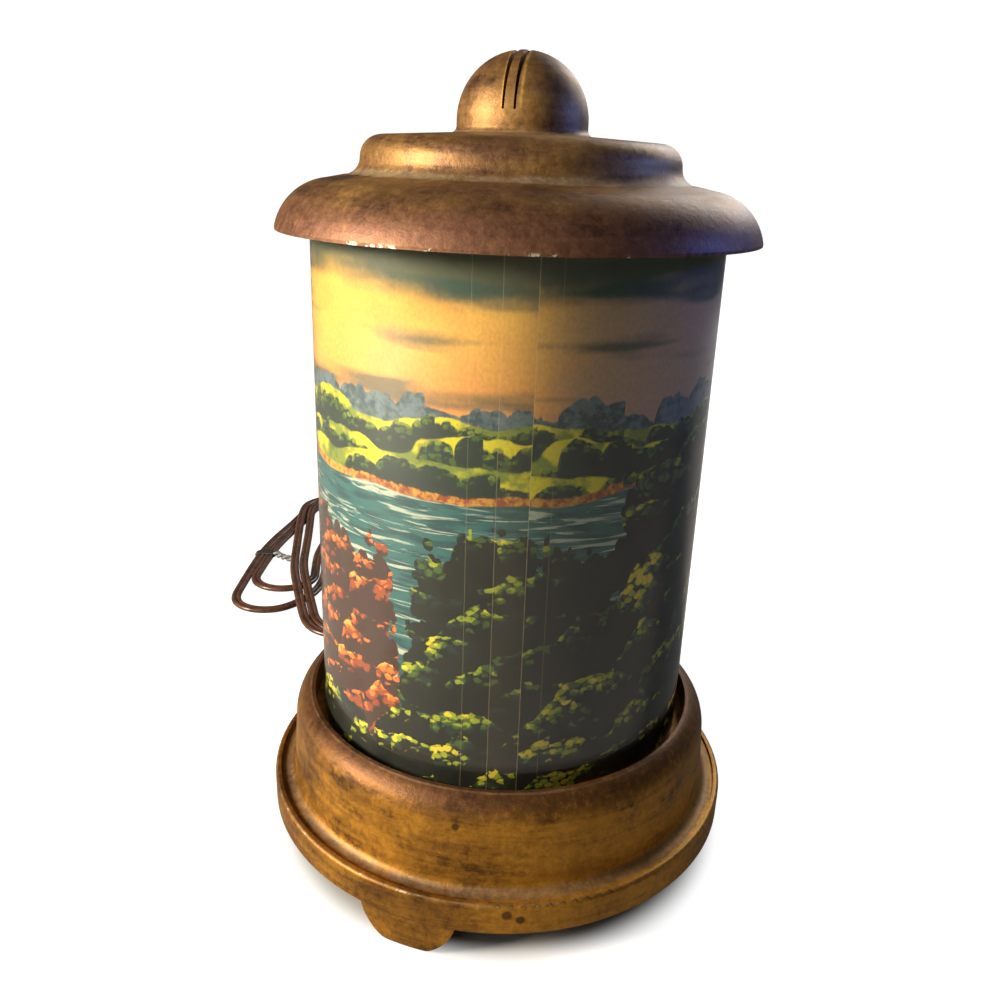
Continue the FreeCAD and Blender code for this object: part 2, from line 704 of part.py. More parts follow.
def make_bulb():
    cap_foot = bulb_bottom + size("ContactHeight")
    cap_head = cap_foot + size("BulbCapHeight")
    cap_wall = size("BulbCapWall")
    cap_radius = size("BulbCapRadius")
    contact = cap_radius - size("ContactHeight") - size("ContactHeight")
    turned("bulb_contact", [
        (ZERO, bulb_bottom),
        (contact - size("ContactHeight"), bulb_bottom),
        (contact, cap_foot - size("SeatGap")),
        (ZERO, cap_foot - size("SeatGap")),
    ])
    turned("bulb_screw_cap", [
        (ZERO, cap_foot),
        (contact, cap_foot),
        (cap_radius, cap_foot + size("ContactHeight")),
        (cap_radius, cap_head),
        (cap_radius - cap_wall, cap_head),
        (cap_radius - cap_wall, cap_foot + size("ContactHeight") + cap_wall),
        (contact, cap_foot + cap_wall),
        (ZERO, cap_foot + cap_wall),
    ])

    # Envelope: a globe that narrows in a hollow curve to its neck in the cap
    wall = size("BulbGlassWall")
    neck = size("BulbNeckRadius")
    globe = size("BulbRadius")
    globe_centre = bulb_top - globe
    neck_foot = cap_foot + size("ContactHeight") + cap_wall + size("SeatGap")
    neck_head = cap_head + size("ContactHeight")
    share = size("NeckShare")
    level = Size(-math.sqrt(1 - share.number ** 2), "(0 - sqrt(1 - pow(Sizes.NeckShare; 2)))")
    turned("bulb_envelope", [
        (ZERO, neck_foot),
        (neck, neck_foot),
        (neck, neck_head, size("BulbNeckRound"), IN),
        (globe * share, globe_centre + globe * level, globe, OUT),
        (globe, globe_centre, globe, OUT),
        (ZERO, bulb_top),
        (ZERO, bulb_top - wall, globe - wall, IN),
        (globe - wall, globe_centre, globe - wall, IN),
        ((globe - wall) * share, globe_centre + (globe - wall) * level, size("BulbNeckRound"), OUT),
        (neck - wall, neck_head),
        (neck - wall, neck_foot + wall),
        (ZERO, neck_foot + wall),
    ])

    # Stem, lead wires and filament
    stem_foot = neck_foot + wall + size("SeatGap")
    stem_head = stem_foot + size("StemHeight")
    flare = neck - wall - size("SeatGap")
    stem = size("StemRadius")
    turned("bulb_stem", [
        (ZERO, stem_foot),
        (flare, stem_foot),
        (flare, stem_foot + wall),
        (stem, stem_foot + flare + wall),
        (stem, stem_head),
        (ZERO, stem_head),
    ])
    wires = []
    reach = size("FilamentRadius")
    wire_radius = size("TongueThickness")
    for name, side in (("lead_left", sides[0]), ("lead_right", sides[1])):
        wire = document.addObject("Part::Feature", name)
        start = Vector((side * (stem + wire_radius + size("SeatGap"))).number, 0, (stem_head - stem).number)
        knee = Vector((side * reach).number, 0, (stem_head + stem).number)
        end = knee + Vector(0, 0, reach.number)
        wire.Shape = swept([start, knee, end], wire_radius.number, stem.number)
        wires.append(wire)
    group("support_wires", wires)
    arc = document.addObject("Part::Torus", "filament")
    bind(arc, "Radius1", reach)
    bind(arc, "Radius2", wire_radius)
    bind(arc, "Placement.Base.z", stem_head + stem + reach + wire_radius + size("SeatGap"))
    arc.Label = "filament"
    keep(arc)


def swept(points, radius, bend):
    """A round wire along straight runs with one bend radius."""
    edges = []
    start = points[0]
    for k in range(1, len(points) - 1):
        before = (points[k] - points[k - 1]).normalize()
        after = (points[k + 1] - points[k]).normalize()
        half = before.getAngle(after) / 2
        cut = bend * math.tan(half)
        arc_start = points[k] - before * cut
        arc_end = points[k] + after * cut
        inward = (after - before).normalize()
        middle = points[k] + inward * (bend / math.cos(half) - bend)
        edges.append(Part.LineSegment(start, arc_start).toShape())
        edges.append(Part.Arc(arc_start, middle, arc_end).toShape())
        start = arc_end
    edges.append(Part.LineSegment(start, points[-1]).toShape())
    return piped(Part.Wire(edges), radius)


def piped(wire, radius):
    """A round tube along a wire whose pieces join smoothly."""
    first = wire.Edges[0]
    start = first.valueAt(first.FirstParameter)
    heading = first.tangentAt(first.FirstParameter)
    ring = Part.Wire([Part.Circle(start, heading, radius).toShape()])
    solid = wire.makePipeShell([ring], True, False)
    wanted = math.pi * radius * radius * wire.Length
    if abs(solid.Volume / wanted - 1) > 0.01:
        raise RuntimeError("a tube's volume isn't its section times its length")
    return solid


# Pivot bridge, with the needle that the rotor turns on


def make_bridge():
    body = new_body("pivot_bridge")
    reach = bridge_reach
    bend = size("BridgeBend")
    foot = strap_bottom - size("LegEnd")
    path = new_sketch(body, "BridgePath", "XZ_Plane")
    corners = [
        (-reach, foot),
        (-reach, bridge_height - bend, bend, IN),
        (bend - reach, bridge_height),
        (reach - bend, bridge_height, bend, IN),
        (reach, bridge_height - bend),
        (reach, foot),
    ]
    draw_path(path, corners)
    ring = new_sketch(body, "WireSection", "XY_Plane")
    bind(ring, "AttachmentOffset.Base.z", foot)
    draw_circle(ring, -reach, ZERO, size("BridgeWireRadius"))
    wire = body.newObject("PartDesign::AdditivePipe", "BridgeWire")
    wire.Profile = ring
    wire.Spine = (path, ["Edge%d" % (k + 1) for k in range(len(corners) - 1)])
    keep(body)

    bore = size("BridgeWireRadius") + size("SlipGap")
    thick = size("BridgeNutThickness")
    nuts = []
    for name, side in (("left", sides[0]), ("right", sides[1])):
        for level, height in (("under", strap_bottom - size("SeatGap") - thick), ("over", strap_top + size("SeatGap"))):
            nut_name = "leg_nut_%s_%s" % (name, level)
            nuts.append(hexagon_nut(nut_name, size("BridgeNutRadius"), bore, thick, side * reach, height))
    group("bridge_nuts", nuts)

    shank = size("NeedleRadius")
    collar = size("NeedleCollarRadius")
    turned("needle_pin", [
        (ZERO, needle_foot),
        (collar, needle_foot),
        (collar, needle_foot + size("NeedleCollarHeight")),
        (shank, needle_foot + size("NeedleCollarHeight")),
        (shank, needle_top - size("NeedlePoint")),
        (size("NeedleTip"), needle_top - size("NeedleTip"), size("NeedleTip"), OUT),
        (ZERO, needle_top),
    ])


def draw_path(sketch, corners):
    """An open path, drawn as an outline is."""
    corners = [tuple(as_size(v) for v in c[:3]) + c[3:] for c in corners]
    points = [Vector(c[0].number, c[1].number, 0) for c in corners]
    last = None
    for k in range(len(corners) - 1):
        corner = corners[k]
        if len(corner) == 4:
            middle = arc_middle(points[k], points[k + 1], corner[2].number, corner[3] * OUT)
            geometry = sketch.addGeometry(Part.Arc(points[k], middle, points[k + 1]))
            index = sketch.addConstraint(Sketcher.Constraint("Radius", geometry, corner[2].number))
            bind(sketch, "Constraints[%d]" % index, corner[2])
            flipped = sketch.getPoint(geometry, 1).distanceToPoint(points[k]) > 1e-6
            first, final = (2, 1) if flipped else (1, 2)
        else:
            geometry = sketch.addGeometry(Part.LineSegment(points[k], points[k + 1]))
            first, final = 1, 2
        if last is not None:
            sketch.addConstraint(Sketcher.Constraint("Coincident", last[0], last[1], geometry, first))
        place_point(sketch, geometry, first, corner[0], corner[1])
        last = (geometry, final)
    place_point(sketch, last[0], last[1], corners[-1][0], corners[-1][1])


# Glass, printed sheet and its tape


def make_shade():
    edge = size("GlassEdge")
    turned("glass_cylinder", [
        (glass_bore + edge, glass_foot),
        (size("GlassRadius") - edge, glass_foot, edge, OUT),
        (size("GlassRadius"), glass_foot + edge),
        (size("GlassRadius"), glass_top - edge, edge, OUT),
        (size("GlassRadius") - edge, glass_top),
        (glass_bore + edge, glass_top, edge, OUT),
        (glass_bore, glass_top - edge),
        (glass_bore, glass_foot + edge, edge, OUT),
    ])
    scene_height = size("GlassHeight") - size("SceneShort")
    tube("scene_sleeve", scene_radius, scene_bore, glass_foot, scene_height)

    # Tape on the inside of the sheet, over its seam at the front
    body = new_body("seam_tape")
    outer = scene_bore - size("TapeGap")
    inner = outer - size("TapeThickness")
    sketch = new_sketch(body, "TapeSection", "XZ_Plane")
    draw_outline(sketch, [
        (inner, glass_foot + edge),
        (outer, glass_foot + edge),
        (outer, glass_foot + scene_height - edge),
        (inner, glass_foot + scene_height - edge),
    ])
    strip = body.newObject("PartDesign::Revolution", "Tape")
    strip.Profile = sketch
    strip.ReferenceAxis = (sketch, ["V_Axis"])
    strip.Midplane = True
    sweep = math.degrees(sheet.get("TapeWidth") / outer.number)
    bind(strip, "Angle", Size(sweep, "180 / pi * Sizes.TapeWidth / %s" % outer.text))
    body.Placement = Placement(Vector(0, 0, 0), Rotation(Vector(0, 0, 1), -90))
    keep(body)


# Lid casting, with its hollow vented knob


def make_lid():
    body = new_body("lid_casting")
    brim = size("GlassRadius") + size("BrimReach")
    shelf_radius = brim - size("BrimWidth")
    wall = size("LidWall")
    shelf = brim_foot + size("ShelfHeight")
    shelf_top = shelf + size("ShelfRise")
    step = shelf_radius - size("ShelfWidth")
    step_top = brim_foot + size("StepHeight")
    step_round = size("StepRound")
    crown = step_top + size("CrownRise")
    knob = size("KnobRadius")
    knob_centre = brim_foot + size("KnobCentre")
    bore = knob - size("KnobWall")
    ring_bore = size("GlassRadius") + size("RingGap")
    ring_outside = ring_bore + size("RingWall")
    ring_foot = lid_seat - size("RingDepth")
    seat_edge = size("GlassRadius") - size("SeatWidth")
    skirt = brim - wall
    revolve(body, [
        (skirt, brim_foot),
        (brim, brim_foot),
        (brim, brim_foot + size("BrimEdge"), size("BrimRound"), OUT),
        (shelf_radius, shelf),
        (step + size("LidCove"), shelf_top, size("LidCove"), IN),
        (step, shelf_top + size("LidCove")),
        (step, step_top - step_round, step_round, OUT),
        (step - step_round, step_top),
        (knob + size("KnobCove"), crown, size("KnobCove"), IN),
        (knob, crown + size("KnobCove")),
        (knob, knob_centre, knob, OUT),
        (ZERO, knob_centre + knob),
        (ZERO, knob_centre + bore, bore, IN),
        (bore, knob_centre),
        (bore, crown - wall),
        (step - step_round, step_top - wall, step_round - wall, IN),
        (step - wall, step_top - step_round),
        (step - wall, shelf_top - wall),
        (seat_edge, shelf - wall),
        (seat_edge, lid_seat),
        (ring_bore, lid_seat),
        (ring_bore, ring_foot),
        (ring_outside, ring_foot),
        (ring_outside, lid_seat + size("RingGap")),
        (skirt, ring_foot),
    ])

    # Two slots through the front of the knob let the heat out. They narrow towards the front.
    turn = Rotation(Vector(0, 0, 1), sheet.get("SlotTurn"))
    slots = new_sketch(body, "SlotOutline", "XY_Plane", Placement(Vector(0, 0, 0), turn))
    bind(slots, "AttachmentOffset.Base.z", knob_centre + size("SlotFoot"))
    half_width = size("SlotWidth") / 2
    long = knob + size("SlotWidth")
    for side in sides:
        left = side * size("SlotSpacing") / 2 - half_width
        right = side * size("SlotSpacing") / 2 + half_width
        draw_outline(slots, [
            (left, -long),
            (left + size("SlotTip"), -long),
            (right, ZERO),
            (right, size("SlotBack")),
            (left, size("SlotBack")),
        ])
    cut = body.newObject("PartDesign::Pocket", "Slots")
    cut.Profile = slots
    bind(cut, "Length", knob)
    cut.Reversed = True
    keep(body)


# Rotor: sleeve, fan, bearing cup, hoop and eyelets. An eyelet stands midway between two blades.

eyelet_turn = 180 / size("BladeCount")


def eyelet_holes(body, outer, inner, height):
    """Round holes along the radius, for the eyelets that join sleeve and fan."""
    turn = Rotation(Vector(0, 1, 0), eyelet_turn.number)
    ahead = turn.multVec(Vector(0, 0, 1))
    sketch = new_sketch(body, "EyeletCircle", "YZ_Plane", Placement(Vector(0, 0, 0), turn))
    bind(sketch, "AttachmentOffset.Base.x", inner * Size(ahead.x, "sin(%s)" % eyelet_turn.text))
    bind(sketch, "AttachmentOffset.Base.z", inner * Size(ahead.z, "cos(%s)" % eyelet_turn.text))
    draw_circle(sketch, ZERO, height, size("EyeletRadius") + size("SlipGap"))
    hole = body.newObject("PartDesign::Pocket", "EyeletHole")
    hole.Profile = sketch
    bind(hole, "Length", outer - inner)
    hole.Reversed = True
    around_axis(body, hole, size("EyeletCount"), "EyeletHoles")


def make_rotor():
    radius = rotor_radius
    bore = radius - size("RotorWall")
    metal = size("FanSheet")
    rim_radius = bore - size("SeatGap")
    rim_bore = rim_radius - metal
    rim_middle = rotor_top - size("FanRimHeight") / 2
    reach = size("EyeletHeadRadius")

    sleeve = new_body("rotor_sleeve")
    revolve(sleeve, [
        (bore, rotor_foot),
        (radius, rotor_foot),
        (radius, rotor_top),
        (bore, rotor_top),
    ])
    eyelet_holes(sleeve, radius + reach, bore - reach, rim_middle)
    keep(sleeve)

    # Fan: a flat hub and an upright rim, joined by pitched blades that the rising air turns
    fan = new_body("fan_disc")
    cup_bore = size("CupRadius") + size("SlipGap")
    hub_top = rim_middle + metal / 2
    hub_height = rim_middle - metal / 2
    revolve(fan, [
        (rim_bore, rotor_top - size("FanRimHeight")),
        (rim_radius, rotor_top - size("FanRimHeight")),
        (rim_radius, rotor_top),
        (rim_bore, rotor_top),
    ], "Rim")
    sections = []
    ends = (
        ("BladeRootSection", size("FanHubRadius") - size("FanSheet"), size("BladeRoot"), "RootTurn"),
        ("BladeEndSection", rim_bore + metal / 2, size("BladeEnd"), "EndTurn"),
    )
    for name, distance, width, pitch in ends:
        turn = Rotation(Vector(0, 0, 1), sheet.get(pitch))
        section = new_sketch(fan, name, "YZ_Plane", Placement(Vector(0, 0, 0), turn))
        bind(section, "AttachmentOffset.Base.y", rim_middle)
        bind(section, "AttachmentOffset.Base.z", distance)
        draw_outline(section, [
            (-(width / 2), -(metal / 2)),
            (width / 2, -(metal / 2)),
            (width / 2, metal / 2),
            (-(width / 2), metal / 2),
        ])
        sections.append(section)
    blade = fan.newObject("PartDesign::AdditiveLoft", "Blade")
    blade.Profile = sections[0]
    blade.Sections = [sections[1]]
    blade.Ruled = True
    around_axis(fan, blade, size("BladeCount"), "Blades")
    trim_sketch = new_sketch(fan, "BladeEndsOutline", "XZ_Plane")
    draw_outline(trim_sketch, [
        (rim_radius, rotor_top - size("FanRimHeight")),
        (rim_radius + size("BladeRoot"), rotor_top - size("FanRimHeight")),
        (rim_radius + size("BladeRoot"), rotor_top),
        (rim_radius, rotor_top),
    ])
    trim = fan.newObject("PartDesign::Groove", "BladeEnds")
    trim.Profile = trim_sketch
    trim.ReferenceAxis = (trim_sketch, ["V_Axis"])
    trim.Angle = 360
    hub = new_sketch(fan, "HubCircle", "XY_Plane")
    bind(hub, "AttachmentOffset.Base.z", hub_height)
    draw_circle(hub, ZERO, ZERO, size("FanHubRadius"))
    fan.Tip = pad(fan, hub, metal, "Hub")
    drill(fan, [(ZERO, ZERO, cup_bore)], hub_height - size("BladeRoot"), size("BladeRoot") * 2, "CupHole")
    eyelet_holes(fan, rim_radius + reach, rim_bore - reach, rim_middle)
    keep(fan)

    # Bearing cup: hollowed to a cone that stands on the needle's point
    gap = size("PivotGap")
    tip = size("NeedleTip") + gap
    shank = size("NeedleRadius") + gap * 4
    cup_foot = needle_top - size("CupDepth")
    turned("bearing_cup", [
        (shank, cup_foot),
        (size("CupRadius"), cup_foot),
        (size("CupRadius"), hub_top + size("SeatGap")),
        (size("CupFlangeRadius"), hub_top + size("SeatGap")),
        (size("CupFlangeRadius"), hub_top + size("SeatGap") + size("CupFlange")),
        (size("CupRadius"), hub_top + size("SeatGap") + size("CupFlange")),
        (size("CupRadius"), needle_top + size("CupCrown")),
        (ZERO, needle_top + size("CupCrown")),
        (ZERO, needle_top + gap),
        (tip, needle_top + gap),
        (shank, needle_top - size("NeedlePoint") + gap),
    ])
    hoop = document.addObject("Part::Torus", "rotor_hoop")
    bind(hoop, "Radius1", bore - size("SeatGap") - size("HoopWireRadius"))
    bind(hoop, "Radius2", size("HoopWireRadius"))
    bind(hoop, "Placement.Base.z", rotor_foot + size("HoopLift") + size("HoopWireRadius"))
    hoop.Label = "rotor_hoop"
    keep(hoop)

    # Eyelets: a head outside the sleeve and a rolled end inside the fan's rim
    eyelets = []
    head = size("EyeletHead")
    inside = rim_bore - size("EyeletSeat")
    outside = radius + size("SeatGap")
    count = int(sheet.get("EyeletCount"))
    for k in range(count):
        eyelet = new_body("eyelet_%d" % (k + 1))
        revolve(eyelet, [
            (ZERO, inside - head),
            (size("EyeletHeadRadius"), inside - head),
            (size("EyeletHeadRadius"), inside),
            (size("EyeletRadius"), inside),
            (size("EyeletRadius"), outside),
            (size("EyeletHeadRadius"), outside),
            (size("EyeletHeadRadius"), outside + head),
            (ZERO, outside + head),
        ])
        around = 360.0 * k / count + eyelet_turn.number
        turn = Rotation(Vector(0, 0, 1), around) * Rotation(Vector(0, 1, 0), 90)
        eyelet.Placement = Placement(Vector(0, 0, 0), turn)
        bind(eyelet, "Placement.Base.z", rim_middle)
        eyelets.append(eyelet)
    group("sleeve_eyelets", eyelets)


# Cord bushing, turned about the cord's own axis


def make_bushing():
    body = new_body("cord_bushing")
    collar = size("BushingCollar")
    flange = size("BushingFlange")
    shank = size("BushingShank")
    outside = wall_foot_radius + size("SeatGap")
    inside = wall_top_radius - size("CastingWall") - size("SeatGap")
    bore = size("CordBore")
    revolve(body, [
        (bore, inside - collar),
        (flange, inside - collar),
        (flange, inside),
        (shank, inside),
        (shank, outside),
        (flange, outside),
        (flange, outside + collar),
        (size("BushingTip"), outside + collar + size("BushingTaper")),
        (bore, outside + collar + size("BushingTaper")),
    ])
    body.Placement = Placement(Vector(0, 0, 0), Rotation(Vector(1, 0, 0), -90))
    bind(body, "Placement.Base.z", size("ExitHeight"))
    keep(body)


bushing_end = wall_foot_radius + size("SeatGap") + size("BushingCollar") + size("BushingTaper")

# The cord's route. Points were chosen by hand; the lead's first and last lie on its ends.

cord_radius = sheet.get("CordWidth") / 2
floor_level = cord_radius + sheet.get("TableGap")
exit_height = sheet.get("ExitHeight")
lead_exit = bushing_end.number

hank_far = Vector(-sheet.get("HankSide"), lead_exit + sheet.get("HankFar"), 0)
hank_near = hank_far - Vector(sheet.get("NearDrift"), sheet.get("NearRun"), 0)
hank_inner = hank_far - Vector(sheet.get("InnerDrift"), sheet.get("InnerRun"), 0)
hank_front = hank_far + Vector(sheet.get("FrontDrift"), -sheet.get("FrontRun"), 0)
small_fold = sheet.get("SmallFold")
large_fold = small_fold + sheet.get("CordPitch")
near_fold = sheet.get("NearFold")

LEAD_POINTS = [
    Vector(0, lead_exit, exit_height),
    Vector(0, lead_exit + 22, exit_height),
    Vector(2, lead_exit + 46, 16),
    Vector(4, lead_exit + 76, floor_level),
    Vector(7, lead_exit + 116, floor_level),
    Vector(-2, lead_exit + 158, floor_level),
    Vector(-24, lead_exit + 192, floor_level),
    Vector(-50, lead_exit + 207, floor_level),
    Vector(-80, hank_far.y + large_fold, floor_level),
    Vector(hank_far.x + sheet.get("CordWidth"), hank_far.y + large_fold, floor_level),
]


def rounded_route(points):
    """Straight runs joined by arcs, each as large as its two runs allow. Prints the radii."""
    edges = []
    radii = []
    start = points[0]
    for k in range(1, len(points) - 1):
        before = points[k] - points[k - 1]
        after = points[k + 1] - points[k]
        shorter = min(before.Length, after.Length)
        before.normalize()
        after.normalize()
        half = before.getAngle(after) / 2
        radius = 0.45 * shorter / math.tan(half)
        radii.append(radius)
        arc_start = points[k] - before * (radius * math.tan(half))
        arc_end = points[k] + after * (radius * math.tan(half))
        inward = (after - before).normalize()
        middle = points[k] + inward * (radius / math.cos(half) - radius)
        edges.append(Part.LineSegment(start, arc_start).toShape())
        edges.append(Part.Arc(arc_start, middle, arc_end).toShape())
        start = arc_end
    edges.append(Part.LineSegment(start, points[-1]).toShape())
    print("route radii, mm:", [round(r) for r in radii])
    return Part.Wire(edges)


def hank_wire():
    """The hank: folds of 0.6 mm apart or more, wound inward on the table and out again on top.

    A fold is a half turn about its centre. Runs touch two folds, and a run that changes layer
    climbs in two gentle arcs, so that the whole line is smooth.
    """
    low = floor_level
    high = floor_level + sheet.get("CordPitch")
    folds = [
        (hank_far, large_fold, low),
        (hank_near, near_fold, low),
        (hank_far, small_fold, low),
        (hank_inner, small_fold, low),
        (hank_far, small_fold, high),
        (hank_front, small_fold, high),
        (hank_far, large_fold, high),
        (hank_front, large_fold, high),
    ]
    tail_turn = math.radians(sheet.get("TailTurn"))
    edges = []
    angle = math.pi / 2
    first = folds[0][0] + Vector(0, folds[0][1], folds[0][2])
    edges.append(Part.LineSegment(first + Vector(sheet.get("CordWidth"), 0, 0), first).toShape())
    for k, (centre, radius, level) in enumerate(folds):
        if k + 1 < len(folds):
            across = folds[k + 1][0] - centre
            leave = math.atan2(across.y, across.x) - math.acos((radius - folds[k + 1][1]) / across.Length)
        else:
            leave = tail_turn
        while leave <= angle + 0.1:
            leave += 2 * math.pi
        while leave > angle + 2 * math.pi:
            leave -= 2 * math.pi
        half = (angle + leave) / 2
        points = [centre + Vector(radius * math.cos(a), radius * math.sin(a), level) for a in (angle, half, leave)]
        edges.append(Part.Arc(*points).toShape())
        heading = Vector(-math.sin(leave), math.cos(leave), 0)
        if k + 1 == len(folds):
            edges.append(Part.LineSegment(points[2], points[2] + heading * sheet.get("TailLength")).toShape())
            break
        next_radius, next_level = folds[k + 1][1:]
        run_end = folds[k + 1][0] + Vector(next_radius * math.cos(leave), next_radius * math.sin(leave), next_level)
        edges.extend(climbing_run(points[2], run_end, heading))
        angle = leave % (2 * math.pi)
    return Part.Wire(edges)


def climbing_run(start, end, heading):
    """A straight run, or two gentle arcs where the end lies a layer higher."""
    rise = end.z - start.z
    if abs(rise) < 1e-9:
        return [Part.LineSegment(start, end).toShape()]
    length = (end - start).dot(heading)
    radius = (length ** 2 + rise ** 2) / (4 * rise)
    middle = (start + end) * 0.5
    turn = math.asin(length / 2 / radius)
    near = start + heading * (radius * math.sin(turn / 2)) + Vector(0, 0, radius * (1 - math.cos(turn / 2)))
    far = end - heading * (radius * math.sin(turn / 2)) - Vector(0, 0, radius * (1 - math.cos(turn / 2)))
    return [Part.Arc(start, near, middle).toShape(), Part.Arc(middle, far, end).toShape()]


def least_gap(wire, width):
    """The least clear distance from the wire's tube to itself, measured on points."""
    step = 2.0
    points = wire.discretize(Distance=step)
    apart = int(5 * width / step)
    least = min(
        points[i].distanceToPoint(points[j])
        for i in range(len(points))
        for j in range(i + apart, len(points))
    )
    return least - width


def make_cord():
    width = sheet.get("CordWidth")
    lead = document.addObject("Part::Feature", "cord_lead")
    route = rounded_route(LEAD_POINTS)
    lead.Shape = piped(route, cord_radius)
    lead.Label = "cord_lead"
    keep(lead)
    hank = document.addObject("Part::Feature", "cord_hank")
    wire = hank_wire()
    hank.Shape = piped(wire, cord_radius)
    hank.Label = "cord_hank"
    keep(hank)
    print("lead %.0f mm, hank %.0f mm, least gap in the hank %.2f mm"
          % (route.Length, wire.Length, least_gap(wire, width)))

    # Inside the base the cord runs from the bushing down and up into the lamp pipe
    inner_start = Vector(0, (wall_top_radius - size("CastingWall") - size("BushingCollar")).number, exit_height)
    pipe_foot = (strap_bottom - size("PipeBelow")).number
    dip = pipe_foot - 2.4 * width
    route = [
        inner_start,
        Vector(0, inner_start.y - 16, exit_height),
        Vector(0, 28, dip + 2),
        Vector(0, 0, dip),
        Vector(0, 0, pipe_top.number - width),
    ]
    inner = document.addObject("Part::Feature", "inner_lead")
    inner.Shape = swept(route, cord_radius, 1.9 * width)
    inner.Label = "inner_lead"
    keep(inner)
    last = wire.Edges[-1]
    return last.valueAt(last.LastParameter), last.tangentAt(last.LastParameter)


def make_plug(end, heading):
    """A flat two-pin plug, modelled with the cord's entry at its own origin and the blades along +Z."""
    turn = Rotation(Vector(0, 0, 1), math.degrees(math.atan2(heading.y, heading.x)) - 90)
    lay = Placement(end, turn * Rotation(Vector(1, 0, 0), -90))
    neck = size("PlugNeck")
    width = size("PlugWidth") / 2
    thick = size("CordWidth") / 2 + size("CordPitch")
    grip_round = size("PlugRound")

    body = new_body("plug_body")
    entry = new_sketch(body, "NeckCircle", "XY_Plane")
    draw_circle(entry, ZERO, ZERO, size("PlugNeckRadius"))
    collar = pad(body, entry, neck, "Neck")
    grip = new_sketch(body, "GripOutline", "XY_Plane")
    bind(grip, "AttachmentOffset.Base.z", neck)
    draw_outline(grip, [
        (grip_round - width, -thick),
        (width - grip_round, -thick, grip_round, OUT),
        (width, grip_round - thick),
        (width, thick - grip_round, grip_round, OUT),
        (width - grip_round, thick),
        (grip_round - width, thick, grip_round, OUT),
        (-width, thick - grip_round),
        (-width, grip_round - thick, grip_round, OUT),
    ])
    body.Tip = collar
    body.Tip = pad(body, grip, size("PlugLength"), "Grip")
    body.Placement = lay
    keep(body)

    blades = []
    face = neck + size("PlugLength") + size("SeatGap")
    for name, side in (("blade_left", sides[0]), ("blade_right", sides[1])):
        blade = new_body(name)
        outline = new_sketch(blade, "BladeSection", "XY_Plane")
        bind(outline, "AttachmentOffset.Base.z", face)
        middle = side * size("BladeSpacing") / 2
        half = size("BladeThickness") / 2
        high = size("BladeWidth") / 2
        draw_outline(outline, [
            (middle - half, -high),
            (middle + half, -high),
            (middle + half, high),
            (middle - half, high),
        ])
        pad(blade, outline, size("BladeLength"), "Blade")
        blade.Placement = lay
        blades.append(blade)
    group("plug_blades", blades)


make_base_casting()
make_bracket()
make_bracket_screws()
make_pipe()
make_lampholder()
make_bulb()
make_bridge()
make_shade()
make_lid()
make_rotor()
make_bushing()
cord_end, cord_heading = make_cord()
make_plug(cord_end, cord_heading)
document.recompute()

failed = [o.Name for o in document.Objects if set(o.State) & {"Invalid", "Error"}]
if failed:
    raise RuntimeError("these objects failed: %s" % ", ".join(failed))
for cut in document.Objects:
    if cut.TypeId in ("PartDesign::Pocket", "PartDesign::Groove"):
        removed = cut.BaseFeature.Shape.Volume - cut.Shape.Volume
        print("%s takes away %.1f mm3" % (cut.Label, removed))
        if removed < 0.5:
            raise RuntimeError("%s takes nothing away" % cut.Label)
for part in parts:
    if part.Shape.isNull() or not part.Shape.isValid() or part.Shape.Volume <= 0:
        raise RuntimeError("%s has no sound shape" % part.Label)

os.makedirs("parts", exist_ok=True)
for part in parts:
    part.Shape.exportStep("parts/%s.step" % part.Label)
    box = part.Shape.optimalBoundingBox(False, False)
    print("%-18s %9.0f mm3  %7.2f..%7.2f  %7.2f..%7.2f  %7.2f..%7.2f  solids %d" % (
        part.Label, part.Shape.Volume, box.XMin, box.XMax, box.YMin, box.YMax, box.ZMin, box.ZMax,
        len(part.Shape.Solids)))
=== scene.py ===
import math

import bmesh
import bpy
from mathutils import Matrix, Vector


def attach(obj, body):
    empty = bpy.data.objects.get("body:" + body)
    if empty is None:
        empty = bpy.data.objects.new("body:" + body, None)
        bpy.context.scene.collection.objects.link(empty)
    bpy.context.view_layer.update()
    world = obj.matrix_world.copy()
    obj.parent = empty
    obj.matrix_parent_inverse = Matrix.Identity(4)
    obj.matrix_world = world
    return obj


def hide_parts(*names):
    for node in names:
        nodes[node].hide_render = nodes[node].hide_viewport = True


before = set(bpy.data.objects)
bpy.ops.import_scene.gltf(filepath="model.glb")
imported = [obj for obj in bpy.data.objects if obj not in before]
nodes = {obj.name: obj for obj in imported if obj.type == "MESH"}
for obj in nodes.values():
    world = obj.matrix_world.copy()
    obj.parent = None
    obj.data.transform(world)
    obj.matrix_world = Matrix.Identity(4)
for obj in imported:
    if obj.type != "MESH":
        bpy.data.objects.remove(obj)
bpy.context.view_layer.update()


# Camera: where the photographer stood, close to the lamp and a little above its lid. Lens and film in mm.

photoCamera = {
    "place": (0.0, -0.29203, 0.22526),
    "ahead": (-0.00815, 0.93886, -0.34420),
    "up": (-0.03964, 0.34364, 0.93826),
    "lens": 33.48,
    "film": 36,
    "nearest": 0.01,
}


def placeCamera(settings):
    ahead = Vector(settings["ahead"]).normalized()
    right = ahead.cross(Vector(settings["up"])).normalized()
    up = right.cross(ahead)
    camera = bpy.data.objects.new("photoCamera", bpy.data.cameras.new("photoCamera"))
    camera.data.lens = settings["lens"]
    camera.data.sensor_width = settings["film"]
    camera.data.clip_start = settings["nearest"]
    turn = Matrix((right, up, -ahead)).transposed()
    camera.matrix_world = Matrix.Translation(settings["place"]) @ turn.to_4x4()
    bpy.context.scene.collection.objects.link(camera)
    bpy.context.scene.camera = camera


placeCamera(photoCamera)
print("camera placed")


# Helpers for meshes

